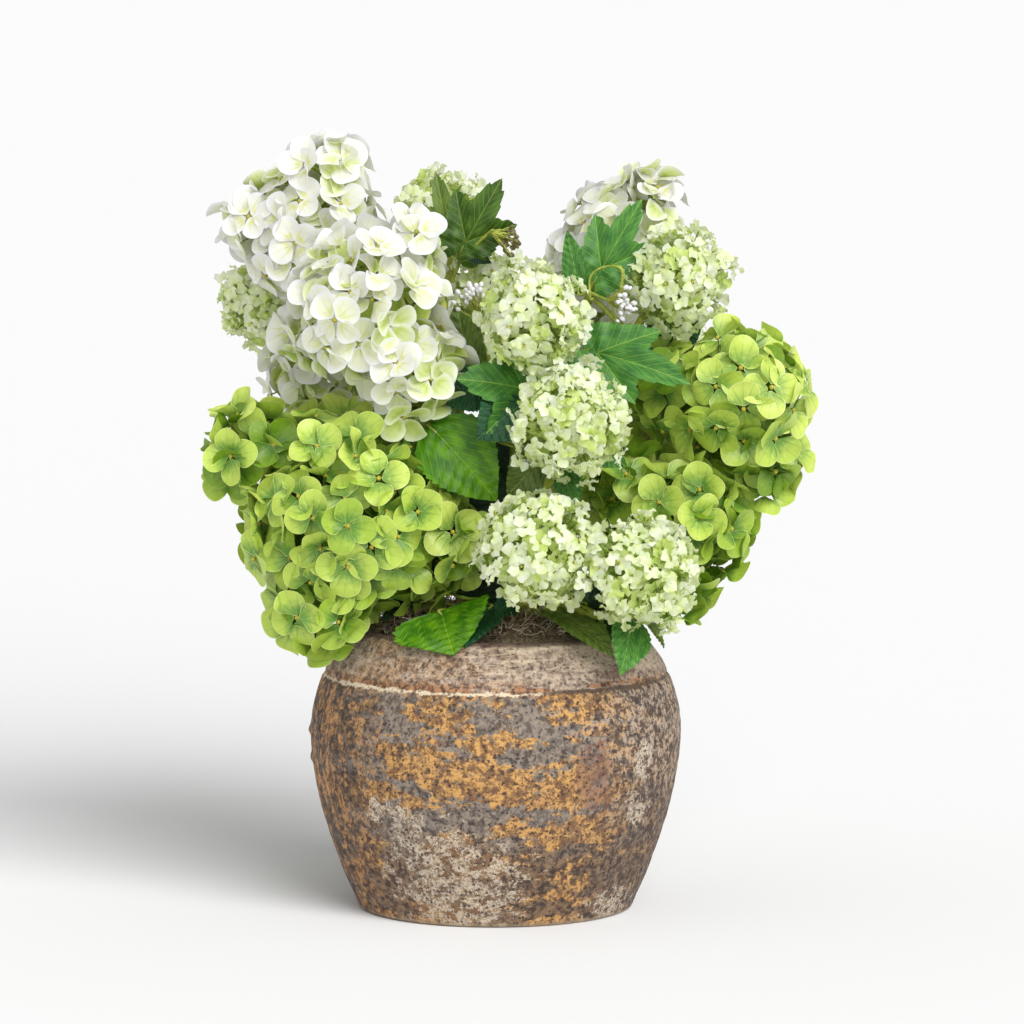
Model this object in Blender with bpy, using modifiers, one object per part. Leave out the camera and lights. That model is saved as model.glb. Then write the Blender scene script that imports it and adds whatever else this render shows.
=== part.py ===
"""Hydrangea and snowball blooms arranged in an old stoneware jar.

Metres, +Z up. The origin is the centre of the jar's flat underside, and the front faces -Y.
Each bloom, each bough, each spray of leaves, the jar and its fill is one closed solid of its own.
"""

import math
import random

import bmesh
import bpy
import numpy as np
from mathutils import Matrix, Vector

# ---------------------------------------------------------------- driving sizes
GAP = 0.0003  # between touching pieces
SEED = 11

# The jar: (radius, height) down its outer side, and up its inner side.
JAR_SEGMENTS = 32
JAR_LIP = ((0.0945, 0.2030), (0.0965, 0.2050), (0.1015, 0.2050), (0.1040, 0.2030))
JAR_OUTER = (
    (0.1135, 0.1910),
    (0.1205, 0.1805),
    (0.1265, 0.1690),
    (0.1315, 0.1515),
    (0.1350, 0.1280),
    (0.1335, 0.1100),
    (0.1295, 0.0870),
    (0.1235, 0.0635),
    (0.1160, 0.0400),
    (0.1075, 0.0190),
    (0.1015, 0.0050),
    (0.1000, 0.0),
)
JAR_INNER = (
    (0.0920, 0.0130),
    (0.1130, 0.0520),
    (0.1250, 0.1100),
    (0.1250, 0.1350),
    (0.1170, 0.1680),
    (0.1040, 0.1890),
)
FILL_TOP = 0.2120
FILL_FLAT_RADIUS = 0.0700  # the boughs stand on this level part
FILL_EDGE = (0.0925, 0.2010)

# Boughs: one tapering limb to each bloom.
BOUGH_FOOT_RADIUS = 0.0042
BOUGH_TIP_RADIUS = 0.0030
BOUGH_POINTS = 6  # along its bend, between its straight ends
BOUGH_SIDES = 6
BOUGH_STRAIGHT = 0.004  # at its foot and its tip
BOUGH_REACH = 0.92  # how far out of its bloom's middle it ends, of the lobe's radius
BOUGH_HANDLES = (0.42, 0.34)  # how stiffly it leaves its foot and its tip, of its length
FOOT_SHARE = 0.40  # how far out a bough stands, of how far out its bloom is
FOOT_SPACING = 0.0170
FOOT_MAX_RADIUS = 0.0640
BOUGH_CLEARANCE = 0.0100  # between a bough's line and a core
BOUGH_SPACING = 0.0130  # between two boughs' lines
BEND_ROUNDS = 60
BEND_KEPT = 0.6  # of a point's own bend in each round; the rest comes from the points beside it
SPREAD_ROUNDS = 200
APPROACH_SHARE = 0.45  # the bough comes from below its bloom, and from nearer the middle
APPROACH_DROP = 0.045
APPROACHES = {"snowball_left": (-0.165, 0.125, 0.375)}  # where a bough comes from another side

# Blooms.
HYDRANGEA_CORE = 0.68  # of the lobe's radius
SNOWBALL_CORE = 0.78
FINE_CORE_FROM = 0.044  # lobes of a smaller radius have a coarser core
FINE_CORE_FLAT = 0.93  # where its faces lie, of its corners' radius
COARSE_CORE_FLAT = 0.79
STALK_RADIUS = 0.0030
STALK_SIDES = 5
ROOT_DEPTH = 0.005  # how far a flower's stem sinks into the core
HYDRANGEA_FLOWER = 0.036  # largest radius of one four-petalled flower
SNOWBALL_FLOWER = 0.0185
FLOWER_SHARE = 0.60  # of its lobe's radius, where that is less
SMALLEST_FLOWER = 0.018
FLOWER_DISH = 0.20  # how deep its middle lies, of its radius
FLOWER_TILT = 0.18
FLOWER_ROUNDS = ((1.0, 3.1, 0.84), (0.8, 14.0, 0.90))  # (size, places tried, how far apart): large ones first
SHELL_SHARE = 0.80  # a flower sits no nearer its lobe's middle than this, of the lobe's radius
LOBE_OVERLAP = 0.86  # and outside this share of the next lobe
PETAL_CORNERS = 12
NOTCH_REACH = 0.62  # of the flower's radius, between two petals
NOTCH_DROP = 0.10
PETAL_TURN = math.radians(5.0)  # what widens a petal's blunt end
SPACE_MARGIN = 0.0010  # a bloom keeps this far inside its own space
LIMB_MARGIN = 0.0035
BLADE_MARGIN = 0.0040
JAR_MARGIN = 0.004
FILL_MARGIN = 0.002
TEST_STEP = 0.006  # between the points that those margins are tested at

# Each bloom's rounded lobes: (x, y, z, radius). Its bough enters the first one.
WHITE = "white"
LIME = "lime"
SNOWBALL = "snowball"
BLOOMS = {
    "white_front": (
        WHITE,
        (
            (-0.062, -0.050, 0.396, 0.045),
            (-0.090, -0.045, 0.440, 0.060),
            (-0.065, -0.040, 0.475, 0.035),
            (-0.130, -0.035, 0.420, 0.030),
        ),
    ),
    "white_top": (
        WHITE,
        ((-0.130, 0.030, 0.485, 0.052), (-0.120, 0.025, 0.527, 0.036), (-0.170, 0.035, 0.497, 0.036)),
    ),
    "white_left": (WHITE, ((-0.130, 0.070, 0.385, 0.042),)),
    "white_right": (
        WHITE,
        ((0.090, 0.055, 0.485, 0.042), (0.110, 0.045, 0.510, 0.032), (0.060, 0.060, 0.468, 0.028)),
    ),
    "white_back": (WHITE, ((0.065, 0.125, 0.395, 0.060),)),
    "white_back_left": (WHITE, ((-0.075, 0.140, 0.400, 0.050),)),
    "white_inner": (WHITE, ((0.045, -0.005, 0.385, 0.042),)),
    "lime_left": (
        LIME,
        (
            (-0.105, -0.040, 0.290, 0.080),
            (-0.170, -0.035, 0.332, 0.042),
            (-0.127, -0.060, 0.233, 0.043),
            (-0.046, -0.045, 0.269, 0.044),
        ),
    ),
    "lime_right": (
        LIME,
        ((0.175, -0.005, 0.370, 0.056), (0.133, 0.005, 0.375, 0.041), (0.192, -0.010, 0.325, 0.032)),
    ),
    "lime_right_low": (
        LIME,
        ((0.140, -0.030, 0.285, 0.050), (0.126, -0.045, 0.245, 0.034), (0.095, -0.015, 0.308, 0.036)),
    ),
    "lime_inner": (LIME, ((0.038, 0.045, 0.303, 0.037),)),
    "lime_back_left": (LIME, ((-0.095, 0.130, 0.290, 0.070),)),
    "lime_back_right": (LIME, ((0.115, 0.110, 0.285, 0.062),)),
    "snowball_high": (SNOWBALL, ((0.028, -0.070, 0.433, 0.040),)),
    "snowball_middle": (SNOWBALL, ((0.053, -0.100, 0.362, 0.042),)),
    "snowball_low": (SNOWBALL, ((0.032, -0.115, 0.274, 0.043),)),
    "snowball_low_right": (SNOWBALL, ((0.102, -0.115, 0.256, 0.041),)),
    "snowball_right": (SNOWBALL, ((0.130, 0.000, 0.456, 0.040),)),
    "snowball_left": (SNOWBALL, ((-0.172, 0.085, 0.433, 0.034),)),
    "snowball_top": (SNOWBALL, ((-0.040, 0.080, 0.500, 0.034),)),
    "snowball_inner": (SNOWBALL, ((-0.004, 0.058, 0.444, 0.031),)),
    "snowball_back": (SNOWBALL, ((0.010, 0.150, 0.258, 0.042),)),
    "snowball_back_right": (SNOWBALL, ((0.145, 0.080, 0.375, 0.040),)),
}

# Leaves.
TWIG_RADIUS = 0.0018
TWIG_TIP = 0.6  # of that radius
TWIG_SIDES = 4
TWIG_RISE = 0.020  # from its bough up to its fork
TWIG_STRAIGHT = 0.004  # out of its bough
BLADE_THICKNESS = 0.0018
BLADE_ROOT = 0.010  # how far a twig runs into its blade
BLADE_UPWARD = 0.8  # how far a blade faces up, for 1 outwards
BLADE_CROWN = 0.05  # its middle stands out this share of its length
BLADE_SAG = 0.10  # and its tip hangs back this share
BUD_THICKNESS = 0.35  # of the cluster's width
OVAL = "oval"
LOBED = "lobed"
BUDS = "buds"
BLADE_CORNERS = {OVAL: 8, LOBED: 10, BUDS: 6}
LOBE_REACHES = (1.0, 0.62, 1.06, 0.72, 0.62, 0.72)  # of a lobed blade's corners, from its tip to its foot
OVAL_TAPER = 0.18

# Each spray: the bough that it grows from, where its twig forks, then each leaf as (kind, foot, tip, width).
SPRAYS = {
    "leaves_top": (
        "snowball_top",
        (-0.026, 0.036, 0.468),
        (
            (OVAL, (-0.034, 0.040, 0.476), (-0.043, 0.040, 0.531), 0.026),
            (LOBED, (-0.018, 0.036, 0.478), (0.004, 0.036, 0.530), 0.050),
            (BUDS, (-0.004, 0.028, 0.474), (0.012, 0.026, 0.487), 0.022),
        ),
    ),
    "leaves_right_high": (
        "snowball_right",
        (0.066, -0.006, 0.448),
        (
            (LOBED, (0.072, -0.008, 0.457), (0.105, -0.010, 0.515), 0.050),
            (OVAL, (0.060, -0.010, 0.446), (0.052, -0.014, 0.492), 0.020),
            (BUDS, (0.078, -0.020, 0.441), (0.092, -0.034, 0.444), 0.024),
        ),
    ),
    "leaves_right_middle": (
        "snowball_high",
        (0.058, -0.030, 0.400),
        ((LOBED, (0.066, -0.034, 0.405), (0.140, -0.054, 0.392), 0.066),),
    ),
    "leaves_centre": (
        "snowball_high",
        (-0.002, -0.036, 0.388),
        (
            (LOBED, (0.000, -0.043, 0.384), (-0.014, -0.070, 0.342), 0.046),
            (OVAL, (-0.004, -0.045, 0.392), (-0.014, -0.070, 0.412), 0.024),
            (OVAL, (0.060, -0.046, 0.350), (0.094, -0.062, 0.324), 0.030),
        ),
    ),
    "leaf_centre_broad": (
        "white_front",
        (-0.030, -0.034, 0.352),
        (
            (OVAL, (-0.036, -0.044, 0.345), (0.000, -0.070, 0.286), 0.052),
            (OVAL, (-0.012, -0.018, 0.352), (0.010, -0.012, 0.297), 0.032),
        ),
    ),
    "leaves_rim_front": (
        "white_front",
        (-0.016, -0.048, 0.222),
        (
            (OVAL, (-0.022, -0.062, 0.226), (-0.028, -0.131, 0.200), 0.066),
            (OVAL, (-0.006, -0.062, 0.224), (0.000, -0.124, 0.212), 0.028),
        ),
    ),
    "leaf_rim_middle": (
        "snowball_middle",
        (0.034, -0.056, 0.219),
        ((OVAL, (0.037, -0.066, 0.221), (0.064, -0.132, 0.200), 0.038),),
    ),
    "leaf_rim_right": (
        "snowball_low_right",
        (0.078, -0.068, 0.218),
        ((LOBED, (0.082, -0.076, 0.217), (0.096, -0.138, 0.190), 0.044),),
    ),
    "leaves_left": (
        "snowball_left",
        (-0.118, 0.050, 0.292),
        (
            (OVAL, (-0.128, 0.055, 0.296), (-0.196, 0.066, 0.322), 0.044),
            (LOBED, (-0.124, 0.056, 0.286), (-0.178, 0.078, 0.258), 0.046),
        ),
    ),
    "leaves_right": (
        "snowball_back_right",
        (0.130, 0.046, 0.312),
        (
            (OVAL, (0.138, 0.050, 0.314), (0.204, 0.066, 0.334), 0.042),
            (LOBED, (0.136, 0.046, 0.306), (0.196, 0.050, 0.276), 0.046),
        ),
    ),
    "leaves_back": (
        "white_back_left",
        (-0.006, 0.116, 0.322),
        (
            (LOBED, (-0.010, 0.126, 0.326), (-0.034, 0.174, 0.352), 0.048),
            (OVAL, (0.000, 0.126, 0.320), (0.034, 0.176, 0.326), 0.036),
        ),
    ),
    "leaf_rim_back": (
        "white_back",
        (0.029, 0.064, 0.222),
        ((OVAL, (0.030, 0.070, 0.222), (0.042, 0.132, 0.200), 0.044),),
    ),
}

# ---------------------------------------------------------------- colours
COLOURS = {
    "stoneware": ((0.36, 0.25, 0.16), 0.85),
    "moss": ((0.30, 0.25, 0.18), 0.95),
    "stem_green": ((0.36, 0.40, 0.10), 0.60),
    WHITE: ((0.84, 0.86, 0.78), 0.60),
    LIME: ((0.42, 0.60, 0.15), 0.55),
    SNOWBALL: ((0.72, 0.80, 0.50), 0.60),
    "leaf_green": ((0.08, 0.25, 0.05), 0.45),
}


def material(name):
    found = bpy.data.materials.get(name)
    if found:
        return found
    colour, roughness = COLOURS[name]
    made = bpy.data.materials.new(name)
    made.use_nodes = True
    shader = made.node_tree.nodes["Principled BSDF"]
    shader.inputs["Base Color"].default_value = (*colour, 1.0)
    shader.inputs["Roughness"].default_value = roughness
    shader.inputs["Metallic"].default_value = 0.0
    made.diffuse_color = (*colour, 1.0)
    return made


def new_object(name, data, collection, material_name=None):
    obj = bpy.data.objects.new(name, data)
    collection.objects.link(obj)
    if material_name:
        data.materials.append(material(material_name))
    return obj


# ---------------------------------------------------------------- jar and fill
def turned(name, profile, collection, material_name):
    """A solid of revolution: the profile runs down its outer side, from the axis to the axis."""
    mesh = bpy.data.meshes.new(name)
    mesh.from_pydata([(r, 0.0, z) for r, z in profile], [(i, i + 1) for i in range(len(profile) - 1)], [])
    obj = new_object(name, mesh, collection, material_name)
    screw = obj.modifiers.new("turn", "SCREW")
    screw.axis = "Z"
    screw.steps = screw.render_steps = JAR_SEGMENTS
    screw.use_merge_vertices = True
    screw.merge_threshold = 0.0001
    screw.use_smooth_shade = True
    return obj


def add_jar(collection):
    floor = JAR_INNER[0][1]
    profile = [(0.0, floor), *JAR_INNER, *JAR_LIP, *JAR_OUTER, (0.0, 0.0)]
    return turned("jar", profile, collection, "stoneware")


def add_fill(collection):
    """Dry foam under moss: it fills the jar, and its level top carries the boughs."""
    sides = [(r - GAP, z + (GAP if z == JAR_INNER[0][1] else 0.0)) for r, z in reversed(JAR_INNER)]
    profile = [(0.0, FILL_TOP), (FILL_FLAT_RADIUS, FILL_TOP), FILL_EDGE, *sides, (0.0, sides[-1][1])]
    return turned("fill", profile, collection, "moss")


def jar_radius(height):
    """The jar's outer radius at a height."""
    down = [*JAR_LIP[2:], *JAR_OUTER]
    heights = [z for _, z in reversed(down)]
    radii = [r for r, _ in reversed(down)]
    return np.interp(height, heights, radii)


# ---------------------------------------------------------------- boughs and twigs
def curve_point(a, b, c, d, t):
    """A point on the cubic curve from a to d, whose handles are b and c."""
    s = 1.0 - t
    return a * s**3 + b * (3 * s * s * t) + c * (3 * s * t * t) + d * t**3


def limb(name, points, first_radius, last_radius, sides, collection, material_name=None):
    """A tapering tube along the points."""
    curve = bpy.data.curves.new(name, "CURVE")
    curve.dimensions = "3D"
    curve.bevel_depth = 1.0
    curve.bevel_resolution = sides // 2 - 2
    curve.use_fill_caps = True
    spline = curve.splines.new("POLY")
    spline.points.add(len(points) - 1)
    for i, (place, point) in enumerate(zip(points, spline.points)):
        share = i / (len(points) - 1)
        point.co = (*place, 1.0)
        point.radius = first_radius + (last_radius - first_radius) * share
    spline.use_smooth = True
    return new_object(name, curve, collection, material_name)


def meshed(obj):
    """The curve object as a mesh object with welded caps."""
    graph = bpy.context.evaluated_depsgraph_get()
    mesh = bpy.data.meshes.new_from_object(obj.evaluated_get(graph))
    work = bmesh.new()
    work.from_mesh(mesh)
    bmesh.ops.remove_doubles(work, verts=work.verts, dist=0.00001)
    work.to_mesh(mesh)
    work.free()
    made = bpy.data.objects.new(obj.name + "_mesh", mesh)
    made.matrix_world = obj.matrix_world
    for holder in obj.users_collection:
        holder.objects.link(made)
    bpy.data.objects.remove(obj)
    return made


def spread_feet():
    """Where each bough stands on the fill: under its bloom, nearer the middle, and clear of the others."""
    feet = {}
    for name, (_, lobes) in BLOOMS.items():
        feet[name] = Vector(lobes[0][:2]) * FOOT_SHARE
    for _ in range(SPREAD_ROUNDS):
        for one in feet:
            for other in feet:
                apart = feet[one] - feet[other]
                if one != other and apart.length < FOOT_SPACING:
                    push = apart.normalized() * (FOOT_SPACING - apart.length) * 0.5
                    feet[one] = feet[one] + push
                    feet[other] = feet[other] - push
            if feet[one].length > FOOT_MAX_RADIUS:
                feet[one] = feet[one].normalized() * FOOT_MAX_RADIUS
    return feet


def core_radius(kind, radius):
    return radius * (SNOWBALL_CORE if kind == SNOWBALL else HYDRANGEA_CORE)


def core_depth(kind, radius):
    """How near its centre a core's flat faces come."""
    return core_radius(kind, radius) * (FINE_CORE_FLAT if radius > FINE_CORE_FROM else COARSE_CORE_FLAT)


def nearest_on_segment(place, a, b):
    along = b - a
    return a + along * max(0.0, min(1.0, (place - a).dot(along) / along.length_squared))


def bend_clear(lines):
    """Bends the boughs round each other and round the cores of the blooms that they pass."""
    balls = []
    for name, (kind, lobes) in BLOOMS.items():
        for i, lobe in enumerate(lobes):
            owner = name if i == 0 else None
            balls.append((owner, Vector(lobe[:3]), core_radius(kind, lobe[3]) + BOUGH_CLEARANCE))
    free = {name: [point.copy() for point in points] for name, (points, _) in lines.items()}
    for _ in range(BEND_ROUNDS):
        for name, (points, _) in lines.items():
            bends = [point - start for point, start in zip(points, free[name])]
            for i in range(2, len(points) - 2):
                beside = (bends[i - 1] + bends[i + 1]) / 2
                place = free[name][i] + bends[i] * BEND_KEPT + beside * (1.0 - BEND_KEPT)
                for owner, centre, reach in balls:
                    for end in (points[i - 1], points[i + 1]):
                        away = nearest_on_segment(centre, end, place) - centre
                        if owner != name and away.length < reach:
                            place = place + away.normalized() * (reach - away.length)
                for other, (others, _) in lines.items():
                    for a, b in zip(others, others[1:]):
                        away = place - nearest_on_segment(place, a, b)
                        if other != name and away.length < BOUGH_SPACING:
                            place = place + away.normalized() * (BOUGH_SPACING - away.length) * 0.5
                points[i] = place


def bough_lines():
    """For each bloom, its bough's points and the direction in which that enters the bloom."""
    feet = spread_feet()
    lines = {}
    for name, (kind, lobes) in BLOOMS.items():
        centre, radius = Vector(lobes[0][:3]), lobes[0][3]
        foot = Vector((*feet[name], FILL_TOP + GAP))
        below = Vector((centre.x * APPROACH_SHARE, centre.y * APPROACH_SHARE, centre.z - radius - APPROACH_DROP))
        heading = (centre - Vector(APPROACHES.get(name, below))).normalized()
        tip = centre - heading * radius * BOUGH_REACH
        rise = (tip - foot).length
        handles = (foot + Vector((0.0, 0.0, rise * BOUGH_HANDLES[0])), tip - heading * rise * BOUGH_HANDLES[1])
        low, high = foot + Vector((0.0, 0.0, BOUGH_STRAIGHT)), tip - heading * BOUGH_STRAIGHT
        steps = [i / (BOUGH_POINTS - 1) for i in range(BOUGH_POINTS)]
        bend = [curve_point(low, *handles, high, t) for t in steps]
        lines[name] = ([foot, *bend, tip], heading)
    bend_clear(lines)
    return lines


def nearest_on_bough(place, points):
    """The nearest point of a bough's line to a place: (the point, the bough's direction there, its radius)."""
    best = None
    for i, (a, b) in enumerate(zip(points, points[1:])):
        near = nearest_on_segment(place, a, b)
        if best is None or (place - near).length < best[0]:
            taper = (i + (near - a).length / (b - a).length) / (len(points) - 1)
            radius = BOUGH_FOOT_RADIUS + (BOUGH_TIP_RADIUS - BOUGH_FOOT_RADIUS) * taper
            best = ((place - near).length, near, (b - a).normalized(), radius)
    return best[1:]


# ---------------------------------------------------------------- blades
def blade_corner(kind, corner):
    """(share of the length, share of the width) of a blade at one of its corners, counted from its tip."""
    corners = BLADE_CORNERS[kind]
    along = math.cos(2 * math.pi * corner / corners)
    across = math.sin(2 * math.pi * corner / corners)
    if kind == LOBED:
        reach = LOBE_REACHES[min(corner, corners - corner)]
        return 0.5 + 0.5 * along * (reach if along > 0 else 1.0), 0.5 * across * reach
    return 0.5 + 0.5 * along, 0.5 * across * (1.0 - OVAL_TAPER * along)


def blade(kind, foot, tip, width):
    """A thin leaf from its foot to its tip, its face turned up and outwards."""
    foot, tip = Vector(foot), Vector(tip)
    along = tip - foot
    outwards = Vector((foot.x + tip.x, foot.y + tip.y, 0.0)).normalized()
    across = along.cross(outwards + Vector((0.0, 0.0, BLADE_UPWARD))).normalized()
    normal = across.cross(along).normalized()
    corners = BLADE_CORNERS[kind]
    thickness = width * BUD_THICKNESS if kind == BUDS else BLADE_THICKNESS / 2
    work = bmesh.new()
    bmesh.ops.create_uvsphere(work, u_segments=corners, v_segments=2, radius=1.0)
    for v in work.verts:
        if abs(v.co.z) > 0.5:
            v.co = foot + along * 0.5 + normal * (math.copysign(thickness, v.co.z) + along.length * BLADE_CROWN)
        else:
            corner = round(math.atan2(v.co.y, v.co.x) / (2 * math.pi) * corners) % corners
            share, side = blade_corner(kind, corner)
            sag = along.length * BLADE_SAG * share * share
            v.co = foot + along * share + across * side * width - normal * sag
    if work.calc_volume(signed=True) < 0:
        bmesh.ops.reverse_faces(work, faces=work.faces)
    return from_bmesh("blade", work)


# ---------------------------------------------------------------- joining
def from_bmesh(name, work):
    """An object, in no collection yet, that holds the mesh."""
    mesh = bpy.data.meshes.new(name)
    work.to_mesh(mesh)
    work.free()
    return bpy.data.objects.new(name, mesh)


def join(name, pieces, material_name, collection):
    """One Boolean union of the pieces, as the object called name."""
    first, *others = pieces
    joining = bpy.data.collections.new("joining")
    bpy.context.scene.collection.children.link(joining)
    for piece in pieces:
        for holder in list(piece.users_collection):
            holder.objects.unlink(piece)
    bpy.context.scene.collection.objects.link(first)
    for other in others:
        joining.objects.link(other)
    union = first.modifiers.new("join", "BOOLEAN")
    union.operation = "UNION"
    union.operand_type = "COLLECTION"
    union.collection = joining
    bpy.context.view_layer.update()
    graph = bpy.context.evaluated_depsgraph_get()
    mesh = bpy.data.meshes.new_from_object(first.evaluated_get(graph))
    for piece in pieces:
        bpy.data.objects.remove(piece)
    bpy.data.collections.remove(joining)
    mesh.name = name
    mesh.materials.clear()
    return new_object(name, mesh, collection, material_name)


# ---------------------------------------------------------------- the space of each bloom
class Space:
    """What a bloom's flowers have to keep clear of."""

    def __init__(self, lines, twigs, blades):
        self.limbs = [(np.array(points), BOUGH_FOOT_RADIUS) for points, _ in lines.values()]
        self.limbs += [(np.array(points), TWIG_RADIUS) for points in twigs]
        self.blades = blades

    def holds(self, own, points):
        return (
            self.inside_own(own, points)
            and self.clear_of_jar(points)
            and self.clear_of_limbs(points)
            and self.clear_of_blades(points)
        )

    def inside_own(self, own, points):
        """Every point is on its own bloom's side of the plane that parts each pair of lobes."""
        mine = [(np.array(lobe[:3]), lobe[3]) for lobe in BLOOMS[own][1]]
        powers = [((points - c) ** 2).sum(axis=1) - r * r for c, r in mine]
        for name, (_, lobes) in BLOOMS.items():
            if name == own:
                continue
            for lobe in lobes:
                centre = np.array(lobe[:3])
                power = ((points - centre) ** 2).sum(axis=1) - lobe[3] ** 2
                past = [(power - p) / (2 * np.linalg.norm(centre - c)) for p, (c, _) in zip(powers, mine)]
                if np.max(past, axis=0).min() < SPACE_MARGIN:
                    return False
        return True

    @staticmethod
    def clear_of_jar(points):
        out = np.hypot(points[:, 0], points[:, 1])
        beside = out > jar_radius(points[:, 2]) + JAR_MARGIN
        above = points[:, 2] > FILL_TOP + FILL_MARGIN
        return bool((beside | above).all())

    def clear_of_limbs(self, points):
        for line, radius in self.limbs:
            reach = radius + LIMB_MARGIN
            low, high = line.min(axis=0) - reach, line.max(axis=0) + reach
            close = points[((points > low) & (points < high)).all(axis=1)]
            if not len(close):
                continue
            for a, b in zip(line[:-1], line[1:]):
                along = b - a
                share = np.clip(((close - a) @ along) / (along @ along), 0.0, 1.0)
                if np.linalg.norm(close - a - share[:, None] * along, axis=1).min() < reach:
                    return False
        return True

    def clear_of_blades(self, points):
        low, high = points.min(axis=0) - BLADE_MARGIN, points.max(axis=0) + BLADE_MARGIN
        close = self.blades[((self.blades > low) & (self.blades < high)).all(axis=1)]
        if not len(close):
            return True
        apart = np.linalg.norm(points[:, None, :] - close[None, :, :], axis=2)
        return bool(apart.min() > BLADE_MARGIN)


def surface_points(mesh):
    """Points on the mesh's faces, no further apart than TEST_STEP."""
    mesh.calc_loop_triangles()
    corners = np.array([v.co for v in mesh.vertices])
    found = [corners]
    for triangle in mesh.loop_triangles:
        a, b, c = corners[list(triangle.vertices)]
        longest = max(np.linalg.norm(b - a), np.linalg.norm(c - a), np.linalg.norm(c - b))
        count = math.ceil(longest / TEST_STEP)
        steps = [(i, j) for i in range(count + 1) for j in range(count + 1 - i)]
        found.append(np.array([(a * i + b * j + c * (count - i - j)) / count for i, j in steps]))
    return np.concatenate(found)


# ---------------------------------------------------------------- blooms
def even_direction(index, count):
    """Directions spread evenly over a ball."""
    height = 1.0 - (2 * index + 1) / count
    turn = index * math.pi * (3.0 - math.sqrt(5.0))
    ring = math.sqrt(1.0 - height * height)
    return Vector((ring * math.cos(turn), ring * math.sin(turn), height))


def flower(kind, radius, depth):
    """One flower, facing +Z, whose pointed stem runs down to -depth."""
    work = bmesh.new()
    corners = 5 if kind == SNOWBALL else PETAL_CORNERS
    bmesh.ops.create_uvsphere(work, u_segments=corners, v_segments=2, radius=1.0)
    for v in work.verts:
        if v.co.z > 0.5:
            v.co = (0.0, 0.0, -FLOWER_DISH * radius)
        elif v.co.z < -0.5:
            v.co = (0.0, 0.0, -depth)
        elif kind == SNOWBALL:
            v.co = (v.co.x * radius, v.co.y * radius, 0.0)
        else:
            v.co = petal_corner(round(math.atan2(v.co.y, v.co.x) / (2 * math.pi) * corners), radius)
    return work


def petal_corner(corner, radius):
    """A corner of a four-petalled flower: every third one is the notch between two petals."""
    angle = 2 * math.pi * corner / PETAL_CORNERS
    if corner % 3 == 0:
        reach = radius * NOTCH_REACH
        return math.cos(angle) * reach, math.sin(angle) * reach, -NOTCH_DROP * radius
    angle += PETAL_TURN if corner % 3 == 2 else -PETAL_TURN
    return math.cos(angle) * radius, math.sin(angle) * radius, 0.0


def flower_sites(kind, lobes, taken):
    """Free places for flowers: (place, direction, flower radius, stem depth). The caller adds to taken."""
    largest = SNOWBALL_FLOWER if kind == SNOWBALL else HYDRANGEA_FLOWER
    for scale, density, spacing in FLOWER_ROUNDS:
        for lobe in lobes:
            radius = lobe[3]
            size = max(SMALLEST_FLOWER, min(largest, FLOWER_SHARE * radius)) * scale
            shell = max(math.sqrt(radius * radius - size * size), SHELL_SHARE * radius)
            count = int(density * (radius / size) ** 2)
            for i in range(count):
                direction = even_direction(i, count)
                place = Vector(lobe[:3]) + direction * shell
                beside = [other for other in lobes if other != lobe]
                inside = any((place - Vector(o[:3])).length < LOBE_OVERLAP * o[3] for o in beside)
                crowded = any((place - spot).length < spacing * (size + reach) for spot, reach in taken)
                if not inside and not crowded:
                    yield place, direction, size, shell - core_depth(kind, radius) + ROOT_DEPTH


def add_bloom(name, line, heading, space, rng, collection):
    kind, lobes = BLOOMS[name]
    pieces = [core(kind, lobe) for lobe in lobes]
    middle = Vector(lobes[0][:3])
    pieces.append(rod(line[-1] + heading * GAP, middle))
    pieces.extend(rod(middle, Vector(lobe[:3])) for lobe in lobes[1:])
    taken = []
    for place, direction, size, depth in flower_sites(kind, lobes, taken):
        work = flower(kind, size, depth)
        tilt = Matrix.Rotation(rng.uniform(-FLOWER_TILT, FLOWER_TILT), 4, "X")
        roll = Matrix.Rotation(rng.uniform(0.0, math.pi), 4, "Z")
        work.transform(Matrix.Translation(place) @ facing(direction) @ tilt @ roll)
        piece = from_bmesh("flower", work)
        if space.holds(name, surface_points(piece.data)):
            pieces.append(piece)
            taken.append((place, size))
        else:
            bpy.data.objects.remove(piece)
    return join(name, pieces, kind, collection)


def facing(direction):
    """The turn that takes +Z to a direction."""
    return direction.to_track_quat("Z", "Y").to_matrix().to_4x4()


def core(kind, lobe):
    """The ball inside a lobe, which its flowers are rooted in."""
    work = bmesh.new()
    subdivisions = 2 if lobe[3] > FINE_CORE_FROM else 1
    bmesh.ops.create_icosphere(work, subdivisions=subdivisions, radius=core_radius(kind, lobe[3]))
    bmesh.ops.translate(work, verts=work.verts, vec=lobe[:3])
    return from_bmesh("core", work)


def rod(start, end):
    """A stalk inside a bloom."""
    along = end - start
    work = bmesh.new()
    bmesh.ops.create_cone(
        work,
        cap_ends=True,
        segments=STALK_SIDES,
        radius1=STALK_RADIUS,
        radius2=STALK_RADIUS,
        depth=along.length,
    )
    work.transform(Matrix.Translation((start + end) / 2) @ facing(along))
    return from_bmesh("rod", work)


# ---------------------------------------------------------------- sprays of leaves
def spray_twigs(bough, fork, leaves):
    """The twig from its bough to the fork, and from there one to each leaf."""
    fork = Vector(fork)
    below = Vector((fork.x, fork.y, max(fork.z - TWIG_RISE, FILL_TOP + TWIG_RISE / 2)))
    point, along, radius = nearest_on_bough(below, bough)
    away = fork - point
    away = (away - along * away.dot(along)).normalized()
    start = point + away * (radius + GAP)
    twigs = [[start, start + away * TWIG_STRAIGHT, fork]]
    for _, foot, tip, _ in leaves:
        inside = Vector(foot) + (Vector(tip) - Vector(foot)).normalized() * BLADE_ROOT
        twigs.append([fork, Vector(foot), inside])
    return twigs


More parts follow.
